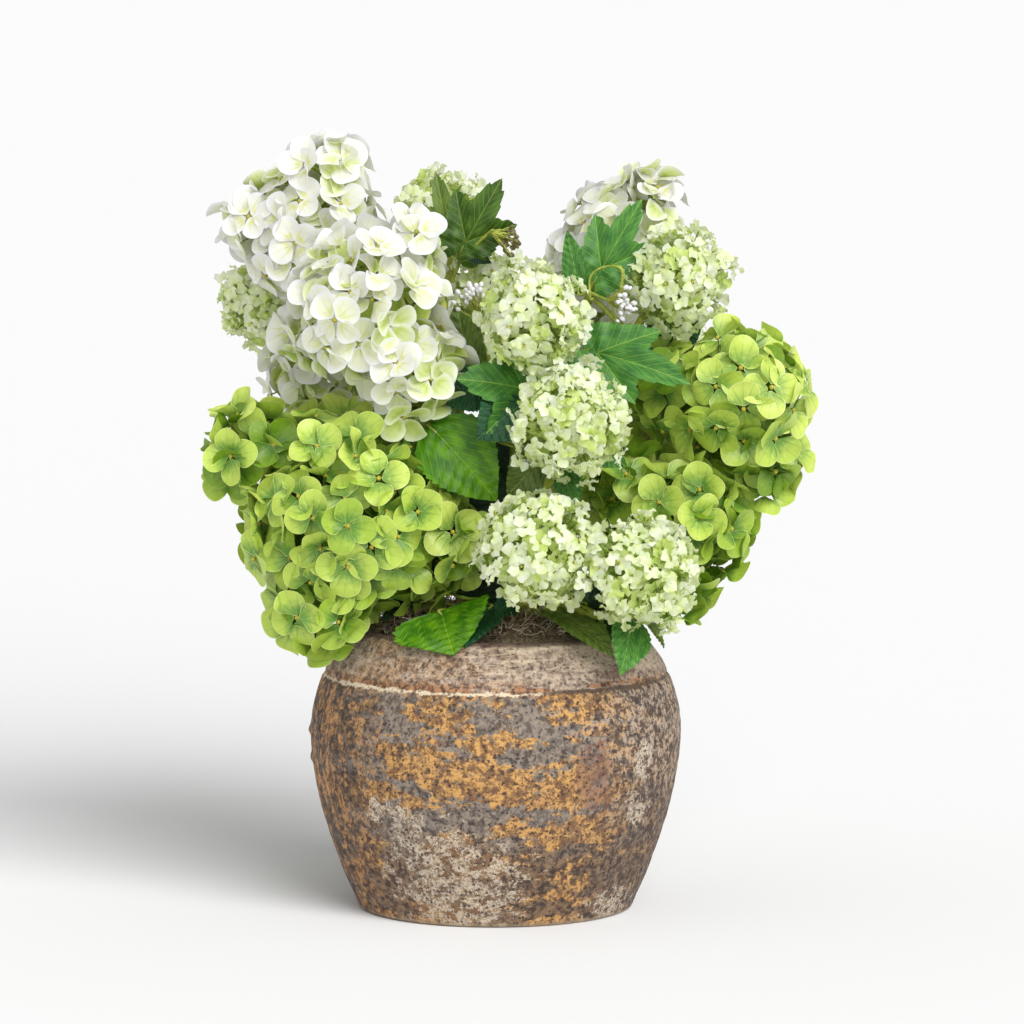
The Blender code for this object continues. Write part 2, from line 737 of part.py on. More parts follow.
def add_spray(name, twigs, collection):
    pieces = []
    for i, points in enumerate(twigs):
        last = TWIG_RADIUS * (1.0 if i == 0 else TWIG_TIP)
        pieces.append(meshed(limb("twig", points, TWIG_RADIUS, last, TWIG_SIDES, collection)))
    pieces.extend(blade(*leaf) for leaf in SPRAYS[name][2])
    return join(name, pieces, "leaf_green", collection)


def blade_points():
    """Points on all the leaves' blades, for keeping flowers off them."""
    found = []
    for _, _, leaves in SPRAYS.values():
        for leaf in leaves:
            obj = blade(*leaf)
            found.append(surface_points(obj.data))
            bpy.data.objects.remove(obj)
    return np.concatenate(found)


def main():
    for obj in list(bpy.data.objects):
        bpy.data.objects.remove(obj)
    collection = bpy.data.collections.new("hydrangea_arrangement")
    bpy.context.scene.collection.children.link(collection)
    rng = random.Random(SEED)
    add_jar(collection)
    add_fill(collection)
    lines = bough_lines()
    twigs = {name: spray_twigs(lines[bough][0], fork, leaves) for name, (bough, fork, leaves) in SPRAYS.items()}
    space = Space(lines, [points for some in twigs.values() for points in some], blade_points())
    for name in BLOOMS:
        line, heading = lines[name]
        limb("stem_" + name, line, BOUGH_FOOT_RADIUS, BOUGH_TIP_RADIUS, BOUGH_SIDES, collection, "stem_green")
        add_bloom(name, line, heading, space, rng, collection)
    for name in SPRAYS:
        add_spray(name, twigs[name], collection)


main()
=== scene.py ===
"""The looks of an artificial hydrangea and snowball arrangement in an old stoneware jar.

Metres, +Z up, front at -Y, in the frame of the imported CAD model. The tables of blooms and leaves and the rule
for the boughs are those of the part's own source, written again. Here they carry every petal.
"""

import math

import bmesh
import bpy
import numpy as np
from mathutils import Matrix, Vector, noise


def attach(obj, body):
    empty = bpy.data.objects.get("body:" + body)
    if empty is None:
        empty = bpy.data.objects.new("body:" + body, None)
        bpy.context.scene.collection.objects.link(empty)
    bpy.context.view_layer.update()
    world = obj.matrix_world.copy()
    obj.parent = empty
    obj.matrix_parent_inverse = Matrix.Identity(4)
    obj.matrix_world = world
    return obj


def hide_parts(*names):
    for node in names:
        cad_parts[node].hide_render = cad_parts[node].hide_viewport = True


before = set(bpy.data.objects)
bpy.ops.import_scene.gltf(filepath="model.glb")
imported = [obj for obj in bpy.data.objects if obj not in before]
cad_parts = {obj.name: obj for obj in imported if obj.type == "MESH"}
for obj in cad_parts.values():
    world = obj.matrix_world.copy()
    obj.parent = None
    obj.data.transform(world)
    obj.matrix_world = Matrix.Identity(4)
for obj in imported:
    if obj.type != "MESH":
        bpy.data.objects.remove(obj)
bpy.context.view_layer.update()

# ---------------------------------------------------------------- sizes shared with the part's source
GAP = 0.0003
FILL_TOP = 0.2120
BOUGH_FOOT_RADIUS = 0.0042
BOUGH_TIP_RADIUS = 0.0030
BOUGH_POINTS = 6
BOUGH_STRAIGHT = 0.004
BOUGH_REACH = 0.92
BOUGH_HANDLES = (0.42, 0.34)
FOOT_SHARE = 0.40
FOOT_SPACING = 0.0170
FOOT_MAX_RADIUS = 0.0640
BOUGH_CLEARANCE = 0.0100
BOUGH_SPACING = 0.0130
BEND_ROUNDS = 60
BEND_KEPT = 0.6
SPREAD_ROUNDS = 200
APPROACH_SHARE = 0.45
APPROACH_DROP = 0.045
APPROACHES = {"snowball_left": (-0.165, 0.125, 0.375)}
HYDRANGEA_CORE = 0.68
SNOWBALL_CORE = 0.78
TWIG_RISE = 0.020

WHITE = "white"
LIME = "lime"
SNOWBALL = "snowball"
# Each bloom: its kind, then its lobes as (x, y, z, radius). Its bough ends at the first.
BLOOMS = {
    "white_front": (WHITE, (
        (-0.062, -0.050, 0.396, 0.045), (-0.090, -0.045, 0.440, 0.060),
        (-0.065, -0.040, 0.475, 0.035), (-0.130, -0.035, 0.420, 0.030),
    )),
    "white_top": (WHITE, (
        (-0.130, 0.030, 0.485, 0.052), (-0.120, 0.025, 0.527, 0.036), (-0.170, 0.035, 0.497, 0.036),
    )),
    "white_left": (WHITE, ((-0.130, 0.070, 0.385, 0.042),)),
    "white_right": (WHITE, (
        (0.090, 0.055, 0.485, 0.042), (0.110, 0.045, 0.510, 0.032), (0.060, 0.060, 0.468, 0.028),
    )),
    "white_back": (WHITE, ((0.065, 0.125, 0.395, 0.060),)),
    "white_back_left": (WHITE, ((-0.075, 0.140, 0.400, 0.050),)),
    "white_inner": (WHITE, ((0.045, -0.005, 0.385, 0.042),)),
    "lime_left": (LIME, (
        (-0.105, -0.040, 0.290, 0.080), (-0.170, -0.035, 0.332, 0.042),
        (-0.127, -0.060, 0.233, 0.043), (-0.046, -0.045, 0.269, 0.044),
    )),
    "lime_right": (LIME, (
        (0.175, -0.005, 0.370, 0.056), (0.133, 0.005, 0.375, 0.041), (0.192, -0.010, 0.325, 0.032),
    )),
    "lime_right_low": (LIME, (
        (0.140, -0.030, 0.285, 0.050), (0.126, -0.045, 0.245, 0.034), (0.095, -0.015, 0.308, 0.036),
    )),
    "lime_inner": (LIME, ((0.038, 0.045, 0.303, 0.037),)),
    "lime_back_left": (LIME, ((-0.095, 0.130, 0.290, 0.070),)),
    "lime_back_right": (LIME, ((0.115, 0.110, 0.285, 0.062),)),
    "snowball_high": (SNOWBALL, ((0.028, -0.070, 0.433, 0.040),)),
    "snowball_middle": (SNOWBALL, ((0.053, -0.100, 0.362, 0.042),)),
    "snowball_low": (SNOWBALL, ((0.032, -0.115, 0.274, 0.043),)),
    "snowball_low_right": (SNOWBALL, ((0.102, -0.115, 0.256, 0.041),)),
    "snowball_right": (SNOWBALL, ((0.130, 0.000, 0.456, 0.040),)),
    "snowball_left": (SNOWBALL, ((-0.172, 0.085, 0.433, 0.034),)),
    "snowball_top": (SNOWBALL, ((-0.040, 0.080, 0.500, 0.034),)),
    "snowball_inner": (SNOWBALL, ((-0.004, 0.058, 0.444, 0.031),)),
    "snowball_back": (SNOWBALL, ((0.010, 0.150, 0.258, 0.042),)),
    "snowball_back_right": (SNOWBALL, ((0.145, 0.080, 0.375, 0.040),)),
}

# The jar's wall as (radius, height), from the middle of its foot over the rim and into its mouth.
JAR_PROFILE = (
    (0.0, 0.0), (0.0920, 0.0), (0.0990, 0.0012), (0.1018, 0.0060), (0.1065, 0.0168),
    (0.1115, 0.0285), (0.1158, 0.0400), (0.1200, 0.0520), (0.1236, 0.0635), (0.1268, 0.0750),
    (0.1295, 0.0870), (0.1315, 0.0985), (0.1334, 0.1110), (0.1344, 0.1230), (0.1344, 0.1330),
    (0.1334, 0.1420), (0.1318, 0.1510), (0.1296, 0.1600), (0.1268, 0.1680), (0.1246, 0.1722),
    (0.1226, 0.1775), (0.1190, 0.1840), (0.1145, 0.1905), (0.1090, 0.1975), (0.1046, 0.2030),
    (0.1015, 0.2052), (0.0980, 0.2052), (0.0955, 0.2035), (0.0962, 0.1990), (0.1000, 0.1930),
    (0.1060, 0.1880),
)
JAR_OUTSIDE = JAR_PROFILE[2:26]
GROOVE_HEIGHT = 0.1712

SEED = 7
FULL_TURN = 6.3  # for random turns and phases


# ---------------------------------------------------------------- rows of numbers
def unit(vectors):
    return vectors / np.linalg.norm(vectors, axis=-1, keepdims=True)


def smoothstep(x, low, high):
    t = np.clip((x - low) / (high - low), 0.0, 1.0)
    return t * t * (3.0 - 2.0 * t)


def pairs(first, second):
    """Every pair of the two rows of values, the second one's changing fastest."""
    return [part.ravel() for part in np.meshgrid(first, second, indexing="ij")]


def circle(count):
    return np.linspace(0.0, 2 * math.pi, count, endpoint=False)


def even_directions(count):
    """Directions spread evenly over a ball."""
    index = np.arange(count)
    height = 1.0 - (2 * index + 1) / count
    turn = index * math.pi * (3.0 - math.sqrt(5.0))
    ring = np.sqrt(1.0 - height * height)
    return np.stack([ring * np.cos(turn), ring * np.sin(turn), height], axis=1)


def rotation(axis, angle):
    c, s = math.cos(angle), math.sin(angle)
    if axis == "X":
        return np.array([[1, 0, 0], [0, c, -s], [0, s, c]])
    if axis == "Y":
        return np.array([[c, 0, s], [0, 1, 0], [-s, 0, c]])
    return np.array([[c, -s, 0], [s, c, 0], [0, 0, 1]])


def turn_to(normal, roll=0.0):
    """The rotation that takes +Z to the normal, after a roll about it."""
    x = unit(np.cross((0.0, 1.0, 0.0) if abs(normal[2]) > 0.9 else (0.0, 0.0, 1.0), normal))
    y = np.cross(normal, x)
    c, s = math.cos(roll), math.sin(roll)
    return np.stack([x * c + y * s, y * c - x * s, normal], axis=1)


# ---------------------------------------------------------------- joined meshes
def placed(name, data):
    obj = bpy.data.objects.new(name, data)
    bpy.context.scene.collection.objects.link(obj)
    return obj


class Pile:
    """Gathers many small meshes, and makes one object of them."""

    def __init__(self, name):
        self.name = name
        self.points, self.faces, self.uvs, self.tones = [], [], [], []
        self.count = 0

    def add(self, points, faces, uv=None, tone=0):
        """Adds one mesh. faces is an array of triangles or quads, or a list of both."""
        for block in faces if isinstance(faces, list) else [faces]:
            self.faces.append(block + self.count)
            self.tones.append(np.full(len(block), tone))
        self.points.append(points)
        self.uvs.append(np.zeros((len(points), 2)) if uv is None else uv)
        self.count += len(points)

    def make(self, materials):
        points = np.concatenate(self.points)
        uv = np.concatenate(self.uvs)
        sizes = np.concatenate([np.full(len(block), block.shape[1]) for block in self.faces])
        corners = np.concatenate([block.ravel() for block in self.faces])
        mesh = bpy.data.meshes.new(self.name)
        mesh.vertices.add(len(points))
        mesh.vertices.foreach_set("co", points.astype(np.float32).ravel())
        mesh.loops.add(len(corners))
        mesh.loops.foreach_set("vertex_index", corners.astype(np.int32))
        mesh.polygons.add(len(sizes))
        mesh.polygons.foreach_set("loop_start", (np.cumsum(sizes) - sizes).astype(np.int32))
        mesh.polygons.foreach_set("material_index", np.concatenate(self.tones).astype(np.int32))
        mesh.polygons.foreach_set("use_smooth", np.ones(len(sizes), bool))
        layer = mesh.uv_layers.new(name="OFBake")
        layer.data.foreach_set("uv", uv[corners].astype(np.float32).ravel())
        mesh.update(calc_edges=True)
        for one in materials:
            mesh.materials.append(one)
        obj = placed(self.name, mesh)
        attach(obj, "root")
        return obj


def tile(uv, tone, tones):
    """Moves coordinates in the unit square into the tone's own strip of it."""
    return np.stack([(tone + np.clip(uv[:, 0], 0.002, 0.998)) / tones, uv[:, 1]], axis=1)


def grid_faces(rows, columns, closed=False):
    """Quads between the points of a grid, stored row after row. Closed joins the last column to the first."""
    row = np.arange(rows - 1)[:, None] * columns
    column = np.arange(columns if closed else columns - 1)[None, :]
    after = (column + 1) % columns
    quads = np.stack([row + column, row + after, row + columns + after, row + columns + column], axis=2)
    return quads.reshape(-1, 4)


def disc_grid(cells):
    """A disc of radius 1 as a grid of quads."""
    line = np.linspace(-1.0, 1.0, cells + 1)
    v, u = pairs(line, line)
    points = np.stack([u * np.sqrt(1.0 - v * v / 2.0), v * np.sqrt(1.0 - u * u / 2.0)], axis=1)
    return points, grid_faces(cells + 1, cells + 1)


def ball(steps):
    """A small ball of radius 1: (points, triangles)."""
    work = bmesh.new()
    bmesh.ops.create_icosphere(work, subdivisions=steps, radius=1.0)
    points = np.array([v.co[:] for v in work.verts])
    faces = np.array([[v.index for v in face.verts] for face in work.faces])
    work.free()
    return points, faces


def smooth_line(points, steps):
    """A Catmull-Rom curve through the points."""
    points = np.asarray(points, float)
    ends = np.concatenate([[2 * points[0] - points[1]], points, [2 * points[-1] - points[-2]]])
    t = np.linspace(0.0, 1.0, steps, endpoint=False)[:, None]
    runs = []
    for a, b, c, d in zip(ends, ends[1:], ends[2:], ends[3:]):
        square, cube = 2 * a - 5 * b + 4 * c - d, 3 * b - a - 3 * c + d
        runs.append(0.5 * (2 * b + (c - a) * t + square * t**2 + cube * t**3))
    return np.concatenate([*runs, points[-1:]])


def tube(points, radii, sides):
    """An open tube round a line of points, of one radius or of one for each: (points, faces)."""
    points = np.asarray(points, float)
    along = unit(np.gradient(points, axis=0))
    side = unit(np.cross(along[0], [0.3, 0.9, 0.2]))
    angle = circle(sides)[:, None]
    rings = []
    for place, direction, radius in zip(points, along, np.broadcast_to(radii, len(points))):
        side = unit(side - direction * (side @ direction))
        rings.append(place + (np.cos(angle) * side + np.sin(angle) * np.cross(direction, side)) * radius)
    return np.concatenate(rings), grid_faces(len(points), sides, closed=True)


# ---------------------------------------------------------------- boughs, by the source's rule
def curve_point(a, b, c, d, t):
    s = 1.0 - t
    return a * s**3 + b * (3 * s * s * t) + c * (3 * s * t * t) + d * t**3


def spread_feet():
    """Where each bough stands on the fill."""
    feet = {name: Vector(lobes[0][:2]) * FOOT_SHARE for name, (_, lobes) in BLOOMS.items()}
    for _ in range(SPREAD_ROUNDS):
        for one in feet:
            for other in feet:
                apart = feet[one] - feet[other]
                if one != other and apart.length < FOOT_SPACING:
                    push = apart.normalized() * (FOOT_SPACING - apart.length) * 0.5
                    feet[one] = feet[one] + push
                    feet[other] = feet[other] - push
            if feet[one].length > FOOT_MAX_RADIUS:
                feet[one] = feet[one].normalized() * FOOT_MAX_RADIUS
    return feet


def nearest_on_segment(place, a, b):
    along = b - a
    return a + along * max(0.0, min(1.0, (place - a).dot(along) / along.length_squared))


def bend_clear(lines):
    """Bends the boughs round each other and round the cores of the blooms that they pass."""
    balls = []
    for name, (kind, lobes) in BLOOMS.items():
        share = SNOWBALL_CORE if kind == SNOWBALL else HYDRANGEA_CORE
        for i, lobe in enumerate(lobes):
            balls.append((name if i == 0 else None, Vector(lobe[:3]), lobe[3] * share + BOUGH_CLEARANCE))
    free = {name: [point.copy() for point in points] for name, (points, _) in lines.items()}
    for _ in range(BEND_ROUNDS):
        for name, (points, _) in lines.items():
            bends = [point - start for point, start in zip(points, free[name])]
            for i in range(2, len(points) - 2):
                beside = (bends[i - 1] + bends[i + 1]) / 2
                place = free[name][i] + bends[i] * BEND_KEPT + beside * (1.0 - BEND_KEPT)
                for owner, centre, reach in balls:
                    for end in (points[i - 1], points[i + 1]):
                        away = nearest_on_segment(centre, end, place) - centre
                        if owner != name and away.length < reach:
                            place = place + away.normalized() * (reach - away.length)
                for other, (others, _) in lines.items():
                    for a, b in zip(others, others[1:]):
                        away = place - nearest_on_segment(place, a, b)
                        if other != name and away.length < BOUGH_SPACING:
                            place = place + away.normalized() * (BOUGH_SPACING - away.length) * 0.5
                points[i] = place


def bough_lines():
    """For each bloom, its bough's points and the direction in which that enters the bloom."""
    feet = spread_feet()
    lines = {}
    for name, (_, lobes) in BLOOMS.items():
        centre, radius = Vector(lobes[0][:3]), lobes[0][3]
        foot = Vector((*feet[name], FILL_TOP + GAP))
        beside = (centre.x * APPROACH_SHARE, centre.y * APPROACH_SHARE)
        below = Vector((*beside, centre.z - radius - APPROACH_DROP))
        heading = (centre - Vector(APPROACHES.get(name, below))).normalized()
        tip = centre - heading * radius * BOUGH_REACH
        rise = (tip - foot).length
        first = foot + Vector((0.0, 0.0, rise * BOUGH_HANDLES[0]))
        second = tip - heading * rise * BOUGH_HANDLES[1]
        low, high = foot + Vector((0.0, 0.0, BOUGH_STRAIGHT)), tip - heading * BOUGH_STRAIGHT
        bend = [curve_point(low, first, second, high, i / (BOUGH_POINTS - 1)) for i in range(BOUGH_POINTS)]
        lines[name] = ([foot, *bend, tip], heading)
    bend_clear(lines)
    return lines


# ---------------------------------------------------------------- colours, from 0 to 255, and jar patches
# Each deposit on the jar: its centre, half sizes and strength. Each stain: the first two.
JAR_DEPOSITS = (
    ((-0.030, -0.112, 0.034), (0.044, 0.040, 0.040), 0.85),
    ((-0.060, -0.105, 0.070), (0.014, 0.030, 0.016), 0.7),
    ((-0.079, -0.102, 0.086), (0.013, 0.030, 0.007), 0.95),
    ((0.106, -0.078, 0.118), (0.006, 0.030, 0.013), 0.95),
    ((0.101, -0.082, 0.082), (0.008, 0.030, 0.012), 0.9),
    ((0.083, -0.070, 0.012), (0.020, 0.040, 0.010), 0.9),
    ((0.030, 0.110, 0.060), (0.050, 0.040, 0.040), 0.8),
    ((-0.100, 0.060, 0.050), (0.030, 0.040, 0.026), 0.7),
)
JAR_STAINS = (
    ((0.070, -0.105, 0.112), (0.012, 0.040, 0.030)),
    ((0.086, -0.080, 0.184), (0.012, 0.030, 0.006)),
    ((-0.040, 0.120, 0.100), (0.020, 0.040, 0.016)),
)
# Each tone of a petal: its foot, blade, rim and vein colours.
PETAL_TONES = {
    WHITE: (
        ((222, 227, 102), (243, 243, 232), (244, 244, 248), (202, 201, 48)),
        ((214, 224, 94), (240, 241, 214), (243, 244, 245), (194, 199, 50)),
        ((198, 217, 86), (232, 240, 184), (246, 249, 236), (180, 198, 64)),
        # Tones 3 and 4 are darker greens of painted shade, tone 5 a grey lavender that is partly painted shade.
        ((186, 206, 78), (218, 232, 150), (240, 245, 214), (164, 188, 60)),
        ((150, 176, 54), (186, 206, 92), (214, 226, 148), (142, 166, 50)),
        ((210, 214, 150), (230, 232, 218), (238, 237, 242), (196, 198, 92)),
    ),
    LIME: (
        ((112, 160, 66), (190, 214, 88), (222, 234, 142), (56, 116, 52)),
        ((128, 172, 70), (202, 224, 98), (232, 240, 156), (66, 126, 56)),
        # Tone 2, the lightest, is painted light for flowers facing up; tones 3 and 4 are painted shade.
        ((140, 180, 72), (214, 231, 110), (238, 243, 168), (80, 138, 58)),
        ((96, 144, 48), (166, 196, 66), (204, 222, 118), (50, 106, 40)),
        ((76, 120, 26), (122, 158, 36), (164, 192, 74), (52, 98, 26)),
    ),
}
PETAL_FINISH = {WHITE: (0.75, 0.26, 0.55), LIME: (0.80, 0.18, 0.38)}  # veins, light through, roughness
# Each tone of a floret: its middle, blade and rim colours, from light (0) to dark (3); the darker ones are
# painted shade.
FLORET_TONES = (
    ((227, 237, 142), (241, 248, 212), (249, 252, 236)),
    ((218, 231, 126), (235, 245, 194), (245, 250, 220)),
    ((207, 224, 108), (226, 240, 166), (239, 247, 200)),
    ((190, 210, 88), (208, 227, 130), (224, 237, 158)),
)
# Each tone of a leaf: its blade, shade and vein colours.
LEAF_TONES = {
    "mid": ((96, 156, 64), (52, 110, 48), (164, 200, 92)),
    "dark": ((50, 102, 60), (30, 72, 48), (96, 146, 78)),
    "bright": ((104, 160, 8), (52, 110, 2), (150, 194, 44)),
    "olive": ((118, 142, 62), (82, 108, 42), (176, 188, 96)),
    "grass": ((84, 122, 38), (48, 78, 22), (150, 174, 78)),
    # The deep tone is a leaf's green as it looks in deep shade: painted shade for the leaves far inside the
    # arrangement.
    "deep": ((38, 66, 36), (26, 48, 28), (58, 92, 50)),
}
# The rest are mottled in two colours.
EYE_TONES = {
    WHITE: ((188, 182, 70), (136, 128, 36)),
    LIME: ((198, 188, 60), (152, 142, 42)),
    SNOWBALL: ((216, 198, 66), (184, 166, 50)),
}
BUD_TONES = {"white": ((244, 242, 244), (226, 222, 232)), "brown": ((128, 122, 74), (92, 84, 52))}
FIBRE_TONES = (
    ((184, 168, 142), (156, 138, 112)),
    ((140, 118, 92), (112, 92, 70)),
    ((206, 194, 168), (176, 160, 132)),
)
LEAF_ROUGHNESS = 0.42


# ---------------------------------------------------------------- materials
def light(red, green, blue):
    """A colour as linear light, from the 0 to 255 scale of screens."""
    share = (part / 255 for part in (red, green, blue))
    return (*(s / 12.92 if s <= 0.04045 else ((s + 0.055) / 1.055) ** 2.4 for s in share), 1.0)


class Field:
    """A value that varies over a material, for use in formulas."""

    def __init__(self, graph, socket):
        self.graph, self.socket = graph, socket

    def __add__(self, other):
        return self.graph.math("ADD", self, other)

    def __sub__(self, other):
        return self.graph.math("SUBTRACT", self, other)

    def __rsub__(self, other):
        return self.graph.math("SUBTRACT", other, self)

    def __mul__(self, other):
        return self.graph.math("MULTIPLY", self, other)


class Graph:
    """One material, whose nodes are written as formulas."""

    def __init__(self, name, roughness=0.6):
        self.material = bpy.data.materials.new(name)
        self.material.use_nodes = True
        self.nodes, self.links = self.material.node_tree.nodes, self.material.node_tree.links
        self.shader = self.nodes["Principled BSDF"]
        self.put(self.shader.inputs["Roughness"], roughness)

    def put(self, socket, value):
        if isinstance(value, Field):
            self.links.new(value.socket, socket)
        else:
            socket.default_value = value

    def add(self, kind, inputs, output=0, **settings):
        node = self.nodes.new(kind)
        for name, value in settings.items():
            setattr(node, name, value)
        for key, value in inputs.items():
            self.put(node.inputs[key], value)
        return Field(self, node.outputs[output])

    def math(self, operation, a, b=0.0):
        return self.add("ShaderNodeMath", {0: a, 1: b}, operation=operation)

    def mix(self, share, a, b):
        return self.add("ShaderNodeMix", {0: share, 6: a, 7: b}, 2, data_type="RGBA")

    def step(self, value, low, high):
        """0 at low and 1 at high, with a soft run between them."""
        return self.add("ShaderNodeMapRange", {0: value, 1: low, 2: high}, interpolation_type="SMOOTHSTEP")

    def split(self, vector):
        node = self.nodes.new("ShaderNodeSeparateXYZ")
        self.put(node.inputs[0], vector)
        return [Field(self, part) for part in node.outputs]

    def join(self, x, y, z):
        return self.add("ShaderNodeCombineXYZ", {0: x, 1: y, 2: z})

    def stretch(self, vector, scale):
        return self.add("ShaderNodeMapping", {"Vector": vector, "Scale": scale})

    def noise(self, vector, scale, detail=4.0, roughness=0.55, distortion=0.0):
        """Noise above and below 0."""
        inputs = {"Vector": vector, "Scale": scale, "Detail": detail}
        raw = self.add("ShaderNodeTexNoise", {**inputs, "Roughness": roughness, "Distortion": distortion})
        return raw - 0.5

    def wave(self, value):
        """The size of the value's sine."""
        return self.math("ABSOLUTE", self.math("SINE", value))

    def bump(self, height, strength, distance):
        inputs = {"Height": height, "Strength": strength, "Distance": distance}
        self.put(self.shader.inputs["Normal"], self.add("ShaderNodeBump", inputs))

    def colour(self, value, through=0.0):
        """The surface's colour, and what share of the light on its far side shows through."""
        self.put(self.shader.inputs["Base Color"], value)
        if through:
            surface = Field(self, self.shader.outputs[0])
            glow = self.add("ShaderNodeBsdfTranslucent", {"Color": value})
            mixed = self.add("ShaderNodeMixShader", {0: through, 1: surface, 2: glow})
            self.put(self.nodes["Material Output"].inputs["Surface"], mixed)
        return self.material

    def tile(self, tone, tones):
        """Where a place lies in the tone's own strip of the map, as x and y from -1 to 1."""
        x, y, _ = self.split(self.add("ShaderNodeUVMap", {}, uv_map="OFBake"))
        return x * (2.0 * tones) - (2.0 * tone + 1.0), y * 2.0 - 1.0

    def distance(self, x, y):
        """How far the place lies from the middle of its strip."""
        return self.math("SQRT", x * x + y * y)


def petal_material(name, tone, tones, colours, veins, through, roughness):
    """A petal: its foot, blade, rim and vein colours, by where each lies on the petal's disc."""
    foot, blade, rim, vein = (light(*one) for one in colours)
    white = name.startswith(WHITE)
    graph = Graph(name, roughness)
    x, y = graph.tile(tone, tones)
    out = graph.distance(x, y)
    wander = graph.noise(graph.join(x, y, 0.37 * tone), 2.4, 3.0)
    ray = graph.wave(graph.math("ARCTAN2", x, y + 1.3) * 9.0) + wander * 0.5
    line = (1.0 - graph.step(ray, 0.04, 0.40)) * (graph.step(y, 0.45, -0.95) * 0.85 + 0.15)
    inner = graph.step(y + wander * 0.7, -0.95, -0.05 if white and tone < 2 else 0.45)
    colour = graph.mix(line * veins, graph.mix(inner, foot, blade), vein)
    # Pale patches in the rim colour: partly mottling of the petal, partly painted satin sheen.
    colour = graph.mix(graph.step(wander, 0.0, 0.30) * 0.40, colour, rim)
    # The rim colour covers a white petal's outer half; on a lime petal it is a thin edge line, partly the
    # petal's paler edge, partly a painted highlight on its thick edge.
    colour = graph.mix(graph.step(out, 0.50 if white else 0.93, 1.0), colour, rim)
    graph.bump(line + wander * 0.6, 0.25, 0.0006)
    return graph.colour(colour, through)


def floret_material(name, tone, tones, colours):
    """A snowball's floret: its middle, blade and rim colours."""
    middle, blade, rim = (light(*one) for one in colours)
    graph = Graph(name, 0.6)
    x, y = graph.tile(tone, tones)
    out = graph.distance(x, y)
    colour = graph.mix(graph.step(out, 0.05, 0.45), middle, blade)
    colour = graph.mix(graph.step(out, 0.4, 0.95), colour, rim)
    graph.bump(graph.noise(graph.join(x, y, 0.4 * tone), 2.2, 3.0), 0.3, 0.0005)
    return graph.colour(colour, 0.38)


def leaf_material(name, tone, tones, colours, roughness):
    """A leaf: across its lobe in x and along it in y, so that its veins branch from the middle one."""
    blade, shade, vein = (light(*one) for one in colours)
    graph = Graph(name, roughness)
    x, y = graph.tile(tone, tones)
    across, along = x * 0.5 + 0.5, y * 0.5 + 0.5
    wander = graph.noise(graph.join(across, along, 0.2 * tone), 4.0, 3.0)
    middle = 1.0 - graph.step(across, 0.004, 0.018)
    side = along - across * 0.75 + wander * 0.05
    line = 1.0 - graph.step(graph.wave(side * (8.0 * math.pi)), 0.02, 0.24)
    colour = graph.mix(graph.step(wander, -0.22, 0.25), shade, blade)
    colour = graph.mix(line * 0.55, colour, vein)
    colour = graph.mix(middle * 0.8, colour, vein)
    graph.bump(0.0 - (middle + line), 0.4, 0.0008)
    graph.put(graph.shader.inputs["Specular IOR Level"], 0.35)
    return graph.colour(colour, 0.18)


def plain_material(name, one, other, scale, roughness=0.6, relief=0.0006):
    """Two colours in a fine mottle, with a matching relief."""
    graph = Graph(name, roughness)
    mottle = graph.noise(graph.add("ShaderNodeTexCoord", {}, 3), scale, 5.0)
    graph.bump(mottle, 0.5, relief)
    return graph.colour(graph.mix(graph.step(mottle, -0.15, 0.15), light(*one), light(*other)))


